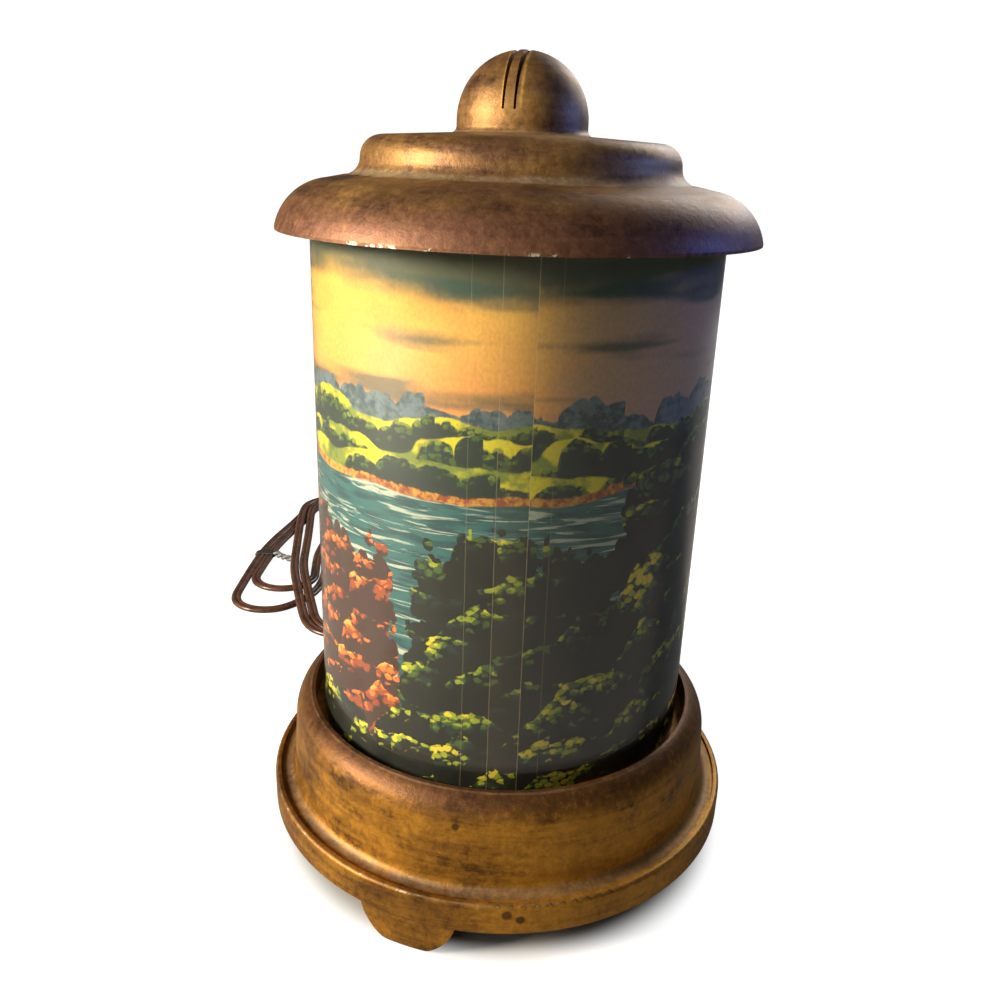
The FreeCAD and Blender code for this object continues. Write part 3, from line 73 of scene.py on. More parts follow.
def meshOf(name, points, faces):
    mesh = bpy.data.meshes.new(name)
    mesh.from_pydata([tuple(p) for p in points], [], faces)
    mesh.polygons.foreach_set("use_smooth", [True] * len(mesh.polygons))
    mesh.update()
    return mesh


def addPiece(name, mesh, body, slotName, *stands):
    piece = bpy.data.objects.new(name, mesh)
    bpy.context.scene.collection.objects.link(piece)
    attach(piece, body)
    if stands:
        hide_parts(*stands)
    return piece


# Power cord: brown twin flex, dropped beside the lamp in loose folds. Millimetres.

powerCord = {
    "lobe": 1.25,       # radius of each of the two round lobes
    "groove": 148,      # degrees, where a lobe meets its neighbour
    "lobeSteps": 11,
    "lies": 1.4,        # height of its middle on the table, where a point gives none
    "lead": [
        (0, 88.15, 33), (0, 110.15, 33), (2, 134.15, 16), (4, 164.15, 2.6), (7, 204.15), (-2, 246.15),
        (-24, 280.15), (-50, 295.15), (-80, 303.7), (-105, 303.7),
    ],
    "outerLoop": [
        (-120.9, 303.7), (-133.4, 291.2), (-134.5, 275), (-137.3, 257), (-140.6, 240), (-143.2, 222),
        (-144, 206), (-144, 190), (-143.6, 170), (-143, 149), (-132.6, 139), (-118, 139.4), (-108.2, 149.4),
        (-102, 162.5), (-100.9, 179), (-103.4, 199), (-104.8, 222), (-101.6, 250), (-95.7, 275.5),
    ],
    "innerLoop": [
        (-95.7, 289.1), (-105.2, 298.6), (-118.8, 298.6), (-128.3, 289.1), (-129.3, 274), (-132, 257),
        (-135.3, 240), (-137.9, 222), (-138.7, 206), (-138.9, 190), (-138.9, 173.8), (-128.6, 164.2),
        (-114.3, 165.5), (-105.7, 177), (-108.4, 193), (-111.4, 214), (-109.4, 237, 2.8),
        (-102.5, 258, 4.4), (-95.7, 275.5, 4.2),
    ],
    "frontLoop": [
        (-95.7, 289.1, 4.1), (-105.2, 298.6, 4.1), (-118.8, 298.6, 4.1), (-128.3, 289.1, 4.1),
        (-128.2, 275, 4.2), (-124.4, 252, 3.2), (-120.8, 227), (-117.2, 201, 1.6), (-112, 180, 4.1),
        (-106.4, 162, 4.5), (-100.7, 144.5, 3.6), (-94.4, 126.4, 1.6), (-82.6, 119.9), (-69.9, 123.4),
        (-63.3, 134.3), (-65.9, 147.6), (-71, 175), (-76.5, 202), (-82.5, 230), (-88.6, 256),
    ],
    "lastLoop": [
        (-90, 275), (-90.2, 291.2, 2.6), (-102.9, 303.7, 4.2), (-120.9, 303.7, 4.2), (-133.6, 291.2, 4.2),
        (-133.8, 275, 4.3), (-130.5, 252, 4.2), (-126.7, 227, 1.8), (-122.9, 204, 1.6),
        (-117.6, 180.5, 4.2), (-112.2, 163.5, 4.6), (-106.9, 146.5, 4), (-98.7, 123.5, 1.6), (-86.6, 115.4),
        (-72.5, 116), (-61.3, 125.1), (-57.8, 138.1, 2), (-54.7, 151, 4.8), (-51.8, 165.6, 8.2),
        (-48.96, 176.3, 8.2),
    ],
}


def splinePath(name, pointsInMm, order=3, steps=10):
    curve = bpy.data.curves.new(name, "CURVE")
    curve.dimensions = "3D"
    spline = curve.splines.new("NURBS")
    spline.points.add(len(pointsInMm) - 1)
    for point, (x, y, z) in zip(spline.points, pointsInMm):
        point.co = (x / 1000, y / 1000, z / 1000, 1)
    spline.order_u = order
    spline.use_endpoint_u = True
    spline.resolution_u = steps
    holder = bpy.data.objects.new(name, curve)
    line = bpy.data.meshes.new_from_object(holder)
    path = [v.co.copy() for v in line.vertices]
    bpy.data.meshes.remove(line)
    bpy.data.objects.remove(holder)
    bpy.data.curves.remove(curve)
    return path


def flexSection(settings):
    # two lobes side by side, in metres, across and up
    lobe = settings["lobe"] / 1000
    steps = settings["lobeSteps"]
    section = []
    for side, middle in ((1, 0), (-1, 180)):
        for k in range(steps):
            angle = math.radians(middle - settings["groove"] + 2 * settings["groove"] * k / (steps - 1))
            section.append((side * lobe + lobe * math.cos(angle), lobe * math.sin(angle)))
    return section


def sweptMesh(name, path, section, side=None):
    # the section lies level along the path, or with its width along side, and its ends are closed
    points = []
    count = len(section)
    for k, place in enumerate(path):
        heading = (path[min(k + 1, len(path) - 1)] - path[max(k - 1, 0)]).normalized()
        across = (side - heading * side.dot(heading)) if side else heading.cross(Vector((0, 0, 1)))
        across.normalize()
        up = across.cross(heading)
        points += [place + across * a + up * b for a, b in section]
    faces = []
    for k in range(len(path) - 1):
        for i in range(count):
            j = (i + 1) % count
            faces.append((k * count + i, k * count + j, (k + 1) * count + j, (k + 1) * count + i))
    faces.append(tuple(reversed(range(count))))
    faces.append(tuple(range((len(path) - 1) * count, len(path) * count)))
    mesh = meshOf(name, points, faces)
    shell = bmesh.new()
    shell.from_mesh(mesh)
    bmesh.ops.recalc_face_normals(shell, faces=shell.faces)
    shell.to_mesh(mesh)
    shell.free()
    return mesh


cordTurns = ("lead", "outerLoop", "innerLoop", "frontLoop", "lastLoop")
cordPoints = [(*point, powerCord["lies"])[:3] for turn in cordTurns for point in powerCord[turn]]
cordPath = splinePath("cordPath", cordPoints)
cordLength = sum((b - a).length for a, b in zip(cordPath, cordPath[1:]))
flex = addPiece("powerCord", sweptMesh("powerCord", cordPath, flexSection(powerCord)), "base", "cord_brown",
                "cord_lead", "cord_hank")
print("cord laid, %.3f m" % cordLength)


# Materials. A Field is a number or a colour on its way through a material's nodes.

class Field:
    def __init__(self, paint, socket):
        self.paint = paint
        self.socket = socket

    def __add__(self, other):
        return self.paint.math("ADD", self, other)

    def __sub__(self, other):
        return self.paint.math("SUBTRACT", self, other)

    def __rsub__(self, other):
        return self.paint.math("SUBTRACT", other, self)

    def __mul__(self, other):
        return self.paint.math("MULTIPLY", self, other)

    __radd__ = __add__
    __rmul__ = __mul__


class Paint:
    def __init__(self, name):
        self.material = bpy.data.materials.new(name)
        self.material.use_nodes = True
        self.tree = self.material.node_tree
        self.shader = self.tree.nodes["Principled BSDF"]
        self.place = self.field(self.add("ShaderNodeTexCoord"), "Object")

    def add(self, kind, **settings):
        made = self.tree.nodes.new(kind)
        for key, value in settings.items():
            setattr(made, key, value)
        return made

    def field(self, made, output=0):
        return Field(self, made.outputs[output])

    def feed(self, socket, value):
        if isinstance(value, Field):
            self.tree.links.new(value.socket, socket)
        else:
            socket.default_value = (*value, 1) if socket.type == "RGBA" else value

    def math(self, operation, *values):
        made = self.add("ShaderNodeMath", operation=operation)
        for socket, value in zip(made.inputs, values):
            self.feed(socket, value)
        return self.field(made)

    def length(self, *sides):
        return self.math("SQRT", sum(side * side for side in sides))

    def highest(self, most, *others):
        for other in others:
            most = self.math("MAXIMUM", most, other)
        return most

    def parts(self, vector=None):
        made = self.add("ShaderNodeSeparateXYZ")
        self.feed(made.inputs[0], vector or self.place)
        return [Field(self, output) for output in made.outputs]

    def vector(self, x, y):
        made = self.add("ShaderNodeCombineXYZ")
        self.feed(made.inputs["X"], x)
        self.feed(made.inputs["Y"], y)
        return self.field(made)

    def stretched(self, scale, vector=None):
        made = self.add("ShaderNodeMapping")
        self.feed(made.inputs["Vector"], vector or self.place)
        made.inputs["Scale"].default_value = scale
        return self.field(made)

    def noise(self, vector=None, scale=1.0, detail=4.0, roughness=0.55, distortion=0.0):
        made = self.add("ShaderNodeTexNoise")
        self.feed(made.inputs["Vector"], vector or self.place)
        made.inputs["Scale"].default_value = scale
        made.inputs["Detail"].default_value = detail
        made.inputs["Roughness"].default_value = roughness
        made.inputs["Distortion"].default_value = distortion
        return self.field(made)

    # 0 at low, 1 at high, smooth between; low may be the larger
    def step(self, value, low, high):
        made = self.add("ShaderNodeMapRange", interpolation_type="SMOOTHSTEP")
        ends = (low, high, 0.0, 1.0) if low < high else (high, low, 1.0, 0.0)
        for socket, end in zip(made.inputs[1:5], ends):
            socket.default_value = end
        self.feed(made.inputs["Value"], value)
        return self.field(made)

    # 1 between low and high, with soft edges
    def band(self, value, low, high, edge):
        return self.step(value, low - edge, low + edge) * self.step(value, high + edge, high - edge)

    # sockets 0, 6 and 7 of a colour mix are its factor, A and B
    def mix(self, share, under, over, blend="MIX"):
        made = self.add("ShaderNodeMix", data_type="RGBA", blend_type=blend)
        self.feed(made.inputs[0], share)
        self.feed(made.inputs[6], under)
        self.feed(made.inputs[7], over)
        return self.field(made, 2)

    def bump(self, height, distance, strength=1.0, under=None):
        made = self.add("ShaderNodeBump")
        self.feed(made.inputs["Height"], height)
        made.inputs["Distance"].default_value = distance
        made.inputs["Strength"].default_value = strength
        if under:
            self.feed(made.inputs["Normal"], under)
        return self.field(made)

    def set(self, **values):
        for name, value in values.items():
            self.feed(self.shader.inputs[name.replace("_", " ")], value)
        return self.material


# Bronze paint over the cast base and lid. Rings are (radius, height, reach), spots (x, y, z, reach).

basePaint = {
    "gold": (0.50, 0.235, 0.026), "brown": (0.155, 0.068, 0.012), "dark": (0.026, 0.013, 0.006),
    "red": (0.105, 0.045, 0.020), "worn": (0.24, 0.165, 0.105), "roughness": 0.48, "metal": 0.62,
    "redRings": [(0.0672, 0.0505, 0.0100)],
    "wornRings": [(0.0752, 0.0222, 0.0034), (0.0670, 0.0517, 0.0010), (0.0795, 0.0221, 0.0007)],
    "chipRings": [(0.0799, 0.0222, 0.0007)],
    "spots": [(-0.0115, -0.0715, 0.0424, 0.0016), (0.0045, -0.0800, 0.0190, 0.0022),
              (0.0085, -0.0797, 0.0172, 0.0018)],
}
lidPaint = {
    "gold": (0.36, 0.200, 0.062), "brown": (0.140, 0.070, 0.034), "dark": (0.034, 0.017, 0.013),
    "red": (0.165, 0.074, 0.046), "worn": (0.42, 0.33, 0.21), "roughness": 0.50, "metal": 0.58,
    "redRings": [(0.0700, 0.2080, 0.0100)],
    "wornRings": [(0.0500, 0.2212, 0.0036), (0.0205, 0.2325, 0.0016)],
    "chipRings": [(0.0719, 0.2044, 0.0011)],
    "slots": {"turn": -10, "spacing": 0.0033, "foot": 0.2381},
    "spots": [],
}
# a coat begins to show at its first number, is full at its second, and covers by its third
bronzeCoats = {
    "gilt": (0.46, 0.70, 1.0), "patina": (0.50, 0.36, 0.75), "glints": (0.60, 0.74, 0.55),
    "wear": (1.0, 1.55, 0.60), "hairlines": (0.53, 0.60, 0.45), "flecks": (0.665, 0.74, 0.30),
    "chips": (0.56, 0.60, 1.0), "slotLipHighlight": (0.40, 0.52, 0.80), "grit": (0.36, 0.62, 1.0),
}
# the tone along the knob's slot lips is a painted highlight; the chip and grit tones are the paint's own
bronzeTones = {"chip": (0.62, 0.57, 0.45), "slotLipHighlight": (0.62, 0.36, 0.10), "grit": (0.42, 0.40, 0.38)}


def bronzePaint(name, look):
    paint = Paint(name)
    x, y, height = paint.parts()
    radius = paint.length(x, y)

    def ringMask(rings):
        masks = []
        for ringRadius, ringHeight, reach in rings:
            away = paint.length(radius - ringRadius, height - ringHeight)
            masks.append(paint.step(away, reach, reach * 0.2))
        return paint.highest(*masks)

    def coat(kind, amount):
        start, full, share = bronzeCoats[kind]
        return paint.step(amount, start, full) * share

    broad = paint.noise(scale=11, detail=3, roughness=0.6)
    brushed = paint.noise(paint.stretched((20, 20, 240)), detail=5, roughness=0.65, distortion=0.4)
    mottle = paint.noise(scale=75, detail=7, roughness=0.78)
    grain = paint.noise(scale=430, detail=5, roughness=0.75)
    gilt = coat("gilt", broad * 0.55 + brushed * 0.30 + mottle * 0.30)
    colour = paint.mix(gilt, look["brown"], look["gold"])
    colour = paint.mix(ringMask(look["redRings"]) * 0.85, colour, look["red"])
    colour = paint.mix(coat("patina", mottle * 0.65 + brushed * 0.4), colour, look["dark"])
    colour = paint.mix(coat("glints", grain * 0.7 + broad * 0.4), colour, look["gold"])
    ragged = paint.noise(scale=190, detail=6, roughness=0.75)
    worn = coat("wear", ringMask(look["wornRings"]) + ragged * 1.1 + (broad - 0.5) * 1.6)
    colour = paint.mix(worn, colour, look["worn"])
    hairs = paint.band(paint.noise(scale=17, detail=1, distortion=1.5), 0.497, 0.503, 0.003)
    colour = paint.mix(hairs * coat("hairlines", broad * 0.5 + mottle * 0.5), colour, look["worn"])
    flecks = coat("flecks", paint.noise(scale=480, detail=3, roughness=0.7))
    colour = paint.mix(flecks, colour, look["worn"])
    chips = ringMask(look["chipRings"]) * coat("chips", paint.noise(scale=95, detail=5, roughness=0.8))
    colour = paint.mix(chips, colour, bronzeTones["chip"])
    if "slots" in look:
        # painted highlight: bright gold on both lips of the knob's slots
        slots = look["slots"]
        turn, lip = math.radians(slots["turn"]), slots["spacing"] / 2
        sideways = paint.math("ABSOLUTE", x * math.cos(turn) + y * math.sin(turn))
        beside = paint.band(sideways, lip + 0.0005, lip + 0.0013, 0.0003)
        above = paint.step(height, slots["foot"] - 0.001, slots["foot"] + 0.002)
        colour = paint.mix(beside * above * coat("slotLipHighlight", mottle), colour, bronzeTones["slotLipHighlight"])
    for spotX, spotY, spotZ, reach in look["spots"]:
        away = paint.length(x - spotX, y - spotY, height - spotZ) + (mottle - 0.5) * reach * 1.2
        colour = paint.mix(paint.step(away, reach, reach * 0.55) * 0.8, colour, look["dark"])
    grit = paint.mix(coat("grit", grain), bronzeTones["grit"], (1.0, 1.0, 1.0))
    colour = paint.mix(0.5, colour, grit, "MULTIPLY")
    roughness = look["roughness"] + (mottle - 0.5) * 0.45 + (grain - 0.5) * 0.25 + worn * 0.167
    dents = paint.bump(paint.noise(scale=50, detail=3, roughness=0.5), 0.0007, 0.35)
    skin = paint.bump(grain * 0.7 + brushed * 0.3 + mottle * 0.4, 0.00034, 0.7, dents)
    return paint.set(Base_Color=colour, Metallic=look["metal"], Roughness=roughness, Specular_IOR_Level=0.3,
                     Normal=skin)


# Plain finishes of the pieces inside and below, each with its own grain

def finish(name, light, dark, metal, roughness, scale=60, stretch=(1, 1, 1), depth=0.00008, **more):
    paint = Paint(name)
    grain = paint.noise(paint.stretched(stretch), scale=scale, detail=5, roughness=0.65)
    spots = paint.noise(scale=scale * 4, detail=3)
    colour = paint.mix(paint.step(grain * 0.7 + spots * 0.3, 0.35, 0.65), dark, light)
    uneven = roughness + (grain - 0.5) * 0.3
    normal = paint.bump(grain * 0.6 + spots * 0.4, depth, 0.5)
    return paint.set(Base_Color=colour, Metallic=metal, Roughness=uneven, Normal=normal, **more)


# Clear glass: seen through, with a gloss that grows towards its edges and a little old dust. Glass close
# round something bends what is seen through it at its outer wall, and not at its bore.

glass = {"edge": (0.60, 0.84), "bends": 1.5, "gloss": 0.9, "leastGloss": 0.045,
         "boreEdge": (0.0012, 0.0008), "smears": (0.35, 0.75)}


def clearGlass(name, tint, edgeTint, roughness, dust, bore=None):
    paint = Paint(name)
    facing = paint.field(paint.add("ShaderNodeLayerWeight"), "Facing")

    def layer(share, under, over):
        made = paint.add("ShaderNodeMixShader")
        paint.feed(made.inputs[0], share)
        paint.tree.links.new(under.outputs[0], made.inputs[1])
        paint.tree.links.new(over.outputs[0], made.inputs[2])
        return made

    clear = paint.add("ShaderNodeBsdfTransparent")
    paint.feed(clear.inputs["Color"], paint.mix(paint.step(facing, *glass["edge"]), tint, edgeTint))
    body = clear
    if bore:
        bent = paint.add("ShaderNodeBsdfRefraction")
        bent.inputs["IOR"].default_value = glass["bends"]
        bent.inputs["Color"].default_value = (*tint, 1)
        x, y, _ = paint.parts()
        inside = paint.step(paint.length(x, y), *[bore + past for past in glass["boreEdge"]])
        path = paint.add("ShaderNodeLightPath")
        lamplight = [paint.field(path, ray) for ray in ("Is Shadow Ray", "Is Diffuse Ray")]
        body = layer(paint.highest(inside, *lamplight), bent, clear)
    shine = paint.add("ShaderNodeBsdfGlossy")
    shine.inputs["Roughness"].default_value = roughness
    waves = paint.noise(paint.stretched((25, 25, 7)), detail=2)
    paint.feed(shine.inputs["Normal"], paint.bump(waves, 0.0004, 0.2))
    shiny = layer(paint.math("POWER", facing, 5.0) * glass["gloss"] + glass["leastGloss"], body, shine)
    smears = paint.noise(paint.stretched((38, 38, 16)), detail=6, roughness=0.7, distortion=0.8)
    film = paint.add("ShaderNodeBsdfDiffuse")
    dusty = layer(paint.step(smears, *glass["smears"]) * dust, shiny, film)
    paint.tree.links.new(dusty.outputs[0], paint.tree.nodes["Material Output"].inputs["Surface"])
    return paint.material


# Printed scene: a lake among meadows and autumn trees at sunset, in painted dabs. Millimetres.
# A stand is a bearing in degrees from the front, right positive, with half its width.

landscape = {
    "radius": 59.3,     # of the sheet
    # on the right the dull rose sky is painted shade; at the back it is part of the print
    "sunset": (158, 190), "clouds": (189, 199), "dullAndShadedSky": ((68, 66), (-150, 60)), "farWoods": 160.5,
    # each: height above the table, width and height of a hedge tree, shift round the lamp, length of a hill
    "meadows": ((160, 8, 4.5, 0, 33), (154, 9, 6, 31, 27), (147, 13, 10, 57, 41)),
    "shore": 138.5, "raisedShore": (75, 60),
    "autumn": {"foot": 52, "high": 58, "highStands": ((-58, 30), (175, 50)),
               "low": 30, "lowStands": ((40, 26),)},
    "trees": {"foot": 40, "high": 100, "highStands": ((60, 36), (-112, 40)),
              "low": 74, "lowStands": ((6, 38), (118, 30), (-165, 26))},
    "bushes": 55,
    "seam": 5.8, "tapeEdges": (-10.8, -3.0, 5.8, 11.8), "edgeShares": (0.16, 0.26, 0.42, 0.16),
    "gold": (0.86, 0.50, 0.105), "peach": (0.76, 0.34, 0.085), "rose": (0.42, 0.30, 0.22),
    "teal": (0.040, 0.085, 0.070), "haze": (0.130, 0.190, 0.210), "hazeDark": (0.045, 0.075, 0.085),
    "meadow": (0.72, 0.64, 0.020), "field": (0.20, 0.26, 0.030), "water": (0.030, 0.135, 0.135),
    "deepWater": (0.016, 0.070, 0.078), "foam": (0.50, 0.56, 0.44), "sand": (0.66, 0.33, 0.045),
    "night": (0.009, 0.011, 0.007), "pine": (0.013, 0.030, 0.020), "leaf": (0.060, 0.115, 0.022),
    "lime": (0.34, 0.40, 0.022), "lemon": (0.80, 0.62, 0.045), "bark": (0.045, 0.020, 0.013),
    "rust": (0.30, 0.062, 0.014), "ember": (0.80, 0.19, 0.025), "glow": (0.90, 0.42, 0.07),
    "brushGap": (0.66, 0.66, 0.66), "tape": (0.62, 0.46, 0.22), "tapeEdge": (0.80, 0.62, 0.34),
}


def printedScene(name, look):
    paint = Paint(name)
    x, y, z = paint.parts()
    angle = paint.math("ARCTAN2", x, y * -1)
    around = angle * look["radius"]
    along = paint.math("WRAP", around, look["seam"] + 2 * math.pi * look["radius"], look["seam"])
    up = z * 1000
    flat = paint.vector(along, up)

    def noise(size, detail=4.0, roughness=0.6, tall=1.0, distortion=0.0):
        stretched = paint.stretched((1 / size, 1 / (size * tall), 1), flat)
        return paint.noise(stretched, 1.0, detail, roughness, distortion)

    tremble, shiver = noise(1.6, 2) - 0.5, noise(1.3, 2, 0.6, 1.4) - 0.5
    small, broad = noise(2.2, 4, 0.65) - 0.5, noise(26, 3, 0.6) - 0.5
    warm = noise(15, 4, 0.6)

    # cells over the sheet, or along it for "1D"
    def cells(place, scale=1.0, dimensions="2D"):
        made = paint.add("ShaderNodeTexVoronoi", voronoi_dimensions=dimensions)
        made.inputs["Scale"].default_value = scale
        paint.feed(made.inputs["W" if dimensions == "1D" else "Vector"], place)
        return made

    # a round top in each cell, 0 at its foot and 1 in its middle
    def domes(cell, steep):
        away = paint.field(cell, "Distance") * steep
        return paint.math("SQRT", paint.math("MAXIMUM", 1 - away * away, 0.0))

    puff = domes(cells(flat, 1 / 10), 1.3) * 0.65 + domes(cells(flat, 1 / 3.6), 1.3) * 0.35 - 0.5

    # a row of round tops
    def tops(width, tall, shift=0.0):
        cell = cells(along + shift, 1 / width, "1D")
        luck = paint.parts(paint.field(cell, "Color"))[0]
        return domes(cell, 1.45) * (luck * 0.75 + 0.25) * tall

    # leaf clumps: 1 where one turns to the light at its upper left, 0 in the gaps between
    def clumps(wide, tall):
        place = paint.vector((along + small * 5) * (1 / wide), (up + broad * 16 + small * 4) * (1 / tall))
        cell = cells(place)
        here, middle = paint.parts(place), paint.parts(paint.field(cell, "Position"))
        luck = paint.parts(paint.field(cell, "Color"))[1]
        return (here[1] - middle[1]) * 0.9 - (here[0] - middle[0]) * 0.5 + luck * 0.55

    # painted over what is there, leaf by leaf, in colours from dark to light
    def leaves(colour, size, lit, *tones):
        cell = cells(paint.vector((along + tremble * 1.1 + small * 1.6) * (0.72 / size),
                                  (up + shiver * 1.1 + small * 1.2) * (1 / size)))
        dab = paint.step(paint.field(cell, "Distance") + tremble * 0.2, 0.60, 0.38)
        level = lit + (paint.parts(paint.field(cell, "Color"))[0] - 0.5) * 0.42 + small * 0.25
        for k, tone in enumerate(tones):
            colour = paint.mix(dab * paint.step(level, 0.42 + 0.24 * k, 0.54 + 0.24 * k), colour, tone)
        return colour

    # 1 near the given bearings
    def near(*stands):
        masks = []
        for bearing, half in stands:
            turned = paint.math("COSINE", angle - math.radians(bearing)) + puff * 0.06
            edge, full = [math.cos(math.radians(turn)) for turn in (half, half * 0.62)]
            masks.append(paint.step(turned, edge, full))
        return paint.highest(*masks)

    def under(top, soft=0.35):
        return paint.step(up - top, soft, -soft)

    # sky: soft gold, peach near the land, dull rose towards the right, where it is painted shade, and at the
    # back; dark clouds along the top and in bars
    sunset = paint.step(up + broad * 22 + small * 5, *look["sunset"])
    colour = paint.mix(sunset, look["peach"], look["gold"])
    colour = paint.mix(paint.step(warm + small * 0.16, 0.44, 0.66) * 0.45, colour, look["peach"])
    colour = paint.mix(near(*look["dullAndShadedSky"]) * 0.85, colour, look["rose"])
    bars = noise(60, 2, 0.45, 0.15, 0.2)
    colour = paint.mix(paint.step(bars + small * 0.07, 0.54, 0.70) * 0.8, colour, look["teal"])
    clouds = paint.step(up + (bars - 0.5) * 16 + broad * 10 + small * 2, *look["clouds"])
    colour = paint.mix(clouds * 0.92, colour, look["teal"])

    # far woods, blue with distance
    far = look["farWoods"] + broad * 8 + tops(11, 7.5, 12) + tops(3.2, 1.6) + small
    hazy = paint.mix(paint.step(warm + small * 0.7, 0.38, 0.60), look["hazeDark"], look["haze"])
    colour = paint.mix(under(far), colour, hazy)

    # meadows in patches, each with a hedge of dark round trees at its foot
    for height, width, tall, shift, wave in look["meadows"]:
        roll = (noise(wave, 2, 0.5) - 0.5) * 22 + height
        patches = paint.step(noise(wave * 0.5, 3, 0.55) + small * 0.2, 0.44, 0.54)
        ground = paint.mix(patches, look["field"], look["meadow"])
        ground = paint.mix(paint.step(warm + small * 0.5, 0.56, 0.66) * 0.6, ground, look["leaf"])
        colour = paint.mix(under(roll + small), colour, ground)
        top = roll - tall * 0.9 + tops(width, tall, shift) + tops(3, 1.3, shift) + small
        lit = 0.70 - (top - up) * 0.11 + small * 0.5
        colour = paint.mix(under(top), colour, leaves(look["pine"], 1.5, lit, look["leaf"], look["field"]))

    # lake, with a sunlit strand on its far side
    shore = look["shore"] + (noise(34, 3, 0.6) - 0.5) * 6 + near(look["raisedShore"]) * 3
    strand = paint.mix(paint.step(warm + small, 0.35, 0.6), look["rust"], look["sand"])
    colour = paint.mix(under(shore + 2.4 + small * 2), colour, strand)
    ripples = noise(26, 5, 0.6, 0.085, 1.2)
    water = paint.mix(paint.step(noise(12, 3, 0.5, 0.2), 0.42, 0.62), look["water"], look["deepWater"])
    water = paint.mix(paint.step(ripples, 0.53, 0.62) * 0.9, water, look["foam"])
    colour = paint.mix(under(shore), colour, water)

    # autumn wood on the left, behind, and a little of it low on the right
    autumn = look["autumn"]
    rise = sum(near(*autumn[kind + "Stands"]) * autumn[kind] for kind in ("high", "low"))
    stand = rise + tops(19, 12) + tops(4.2, 2.4) + puff * 9 + small * 2 + autumn["foot"]
    clump = clumps(12, 9)
    rusty = leaves(look["bark"], 3.4, clump * 0.75 + 0.16, look["rust"], look["rust"])
    rusty = leaves(rusty, 2.1, clump * 0.95 + (warm - 0.5) * 1.2 - 0.10, look["ember"], look["glow"])
    colour = paint.mix(under(stand), colour, rusty)

    # dark broad trees
    trees = look["trees"]
    rise = [near(*trees[kind + "Stands"]) * trees[kind] for kind in ("high", "low")]
    dark = paint.highest(*rise) + tops(24, 14, 9) + tops(4.6, 3.2) + small * 2.2 + puff * 12 + trees["foot"]
    clump = clumps(20, 12)
    wood = leaves(look["night"], 3.2, clump * 0.7 + 0.12, look["pine"], look["leaf"])
    sun = clump + (warm - 0.5) * 2.0 + 0.02
    wood = leaves(wood, 2.0, sun - 0.10, look["leaf"], look["lime"], look["lemon"])
    colour = paint.mix(under(dark), colour, wood)

    # bushes at the foot, dim, with golden leaves
    foot = tops(22, 14, 4) + tops(4, 2.6) + small * 2 + broad * 16 + look["bushes"]
    clump = clumps(17, 10)
    bush = leaves(look["night"], 2.8, clump * 0.7 + 0.14, look["pine"], look["leaf"])
    bush = leaves(bush, 1.9, clump + (warm - 0.5) * 1.4 - 0.12, look["lime"], look["lemon"])
    colour = paint.mix(under(foot), colour, bush)

    # brush marks and paper grain, the overlapped seam under its tape, and the tape's edges
    brushed = paint.mix(paint.step(noise(0.9, 4, 0.7, 1.5), 0.3, 0.7), look["brushGap"], (1, 1, 1))
    colour = paint.mix(0.5, colour, brushed, "MULTIPLY")
    edges = look["tapeEdges"]
    colour = paint.mix(paint.band(around, edges[1], edges[2], 0.2) * 0.022, colour, look["tape"])
    for edge, share in zip(edges, look["edgeShares"]):
        line = paint.band(around + small * 0.25, edge - 0.08, edge + 0.08, 0.08)
        colour = paint.mix(line * share, colour, look["tapeEdge"])
    buckle = paint.bump(noise(14, 2, 0.5, 5), 0.0006, 0.25)
    return paint.set(Base_Color=colour, Roughness=0.5, Specular_IOR_Level=0.2, Normal=buckle)


# Turning sleeve: aged film with slanting ripples, which move behind the scene as it turns. Millimetres.

rippleFilm = {
    "wave": 9.0, "swing": 4.95, "swings": 5,
    "film": (0.66, 0.57, 0.42), "shade": (0.20, 0.25, 0.24), "amber": (0.62, 0.34, 0.10),
    "stain": (0.40, 0.30, 0.18),
}


def rippledFilm(name, look):
    paint = Paint(name)
    x, y, z = paint.parts()
    angle = paint.math("ARCTAN2", x, y * -1)
    drift = paint.noise(scale=35, detail=3) - 0.5
    slanted = z * 1000 + paint.math("SINE", angle * look["swings"]) * look["swing"] + drift * 16
    phase = slanted * (2 * math.pi / look["wave"])
    bars = paint.math("SINE", phase) * 0.5 + 0.5
    broken = paint.noise(paint.stretched((70, 70, 190)), detail=5, roughness=0.65)
    rippled = paint.step(bars * 0.6 + broken * 0.55, 0.58, 0.78)
    colour = paint.mix(rippled * 0.75, look["film"], look["shade"])
    tinted = paint.step(paint.math("SINE", phase * 0.5) * 0.3 + broken, 0.62, 0.80)
    colour = paint.mix(tinted * 0.6, colour, look["amber"])
    aged = paint.step(paint.noise(scale=18, detail=5, roughness=0.7), 0.50, 0.75)
    colour = paint.mix(aged * 0.5, colour, look["stain"])
    buckle = paint.bump(paint.noise(paint.stretched((25, 25, 8)), detail=2), 0.0008, 0.3)
    return paint.set(Base_Color=colour, Roughness=0.38 + (broken - 0.5) * 0.3, Normal=buckle)


dressing = {
    "base_casting": bronzePaint("basePaint", basePaint),
    "lid_casting": bronzePaint("lidPaint", lidPaint),
    "glass_cylinder": clearGlass("shadeGlass", (0.985, 0.99, 0.985), (0.50, 0.50, 0.41), 0.03, 0.012, 0.0596),
    "scene_sleeve": printedScene("printedScene", landscape),
    "seam_tape": finish("agedTape", (0.55, 0.44, 0.27), (0.45, 0.34, 0.20), 0, 0.35, 90),
    "bulb_envelope": clearGlass("bulbGlass", (0.98, 0.98, 0.97), (0.75, 0.80, 0.78), 0.02, 0.01),
    "bulb_stem": clearGlass("stemGlass", (0.93, 0.94, 0.93), (0.70, 0.78, 0.74), 0.05, 0.02),
}
steel = finish("zincSteel", (0.55, 0.55, 0.53), (0.32, 0.32, 0.31), 0.95, 0.38, 80, (1, 1, 6))
toolSteel = finish("toolSteel", (0.48, 0.48, 0.49), (0.36, 0.36, 0.37), 1.0, 0.22, 200, (1, 1, 5))
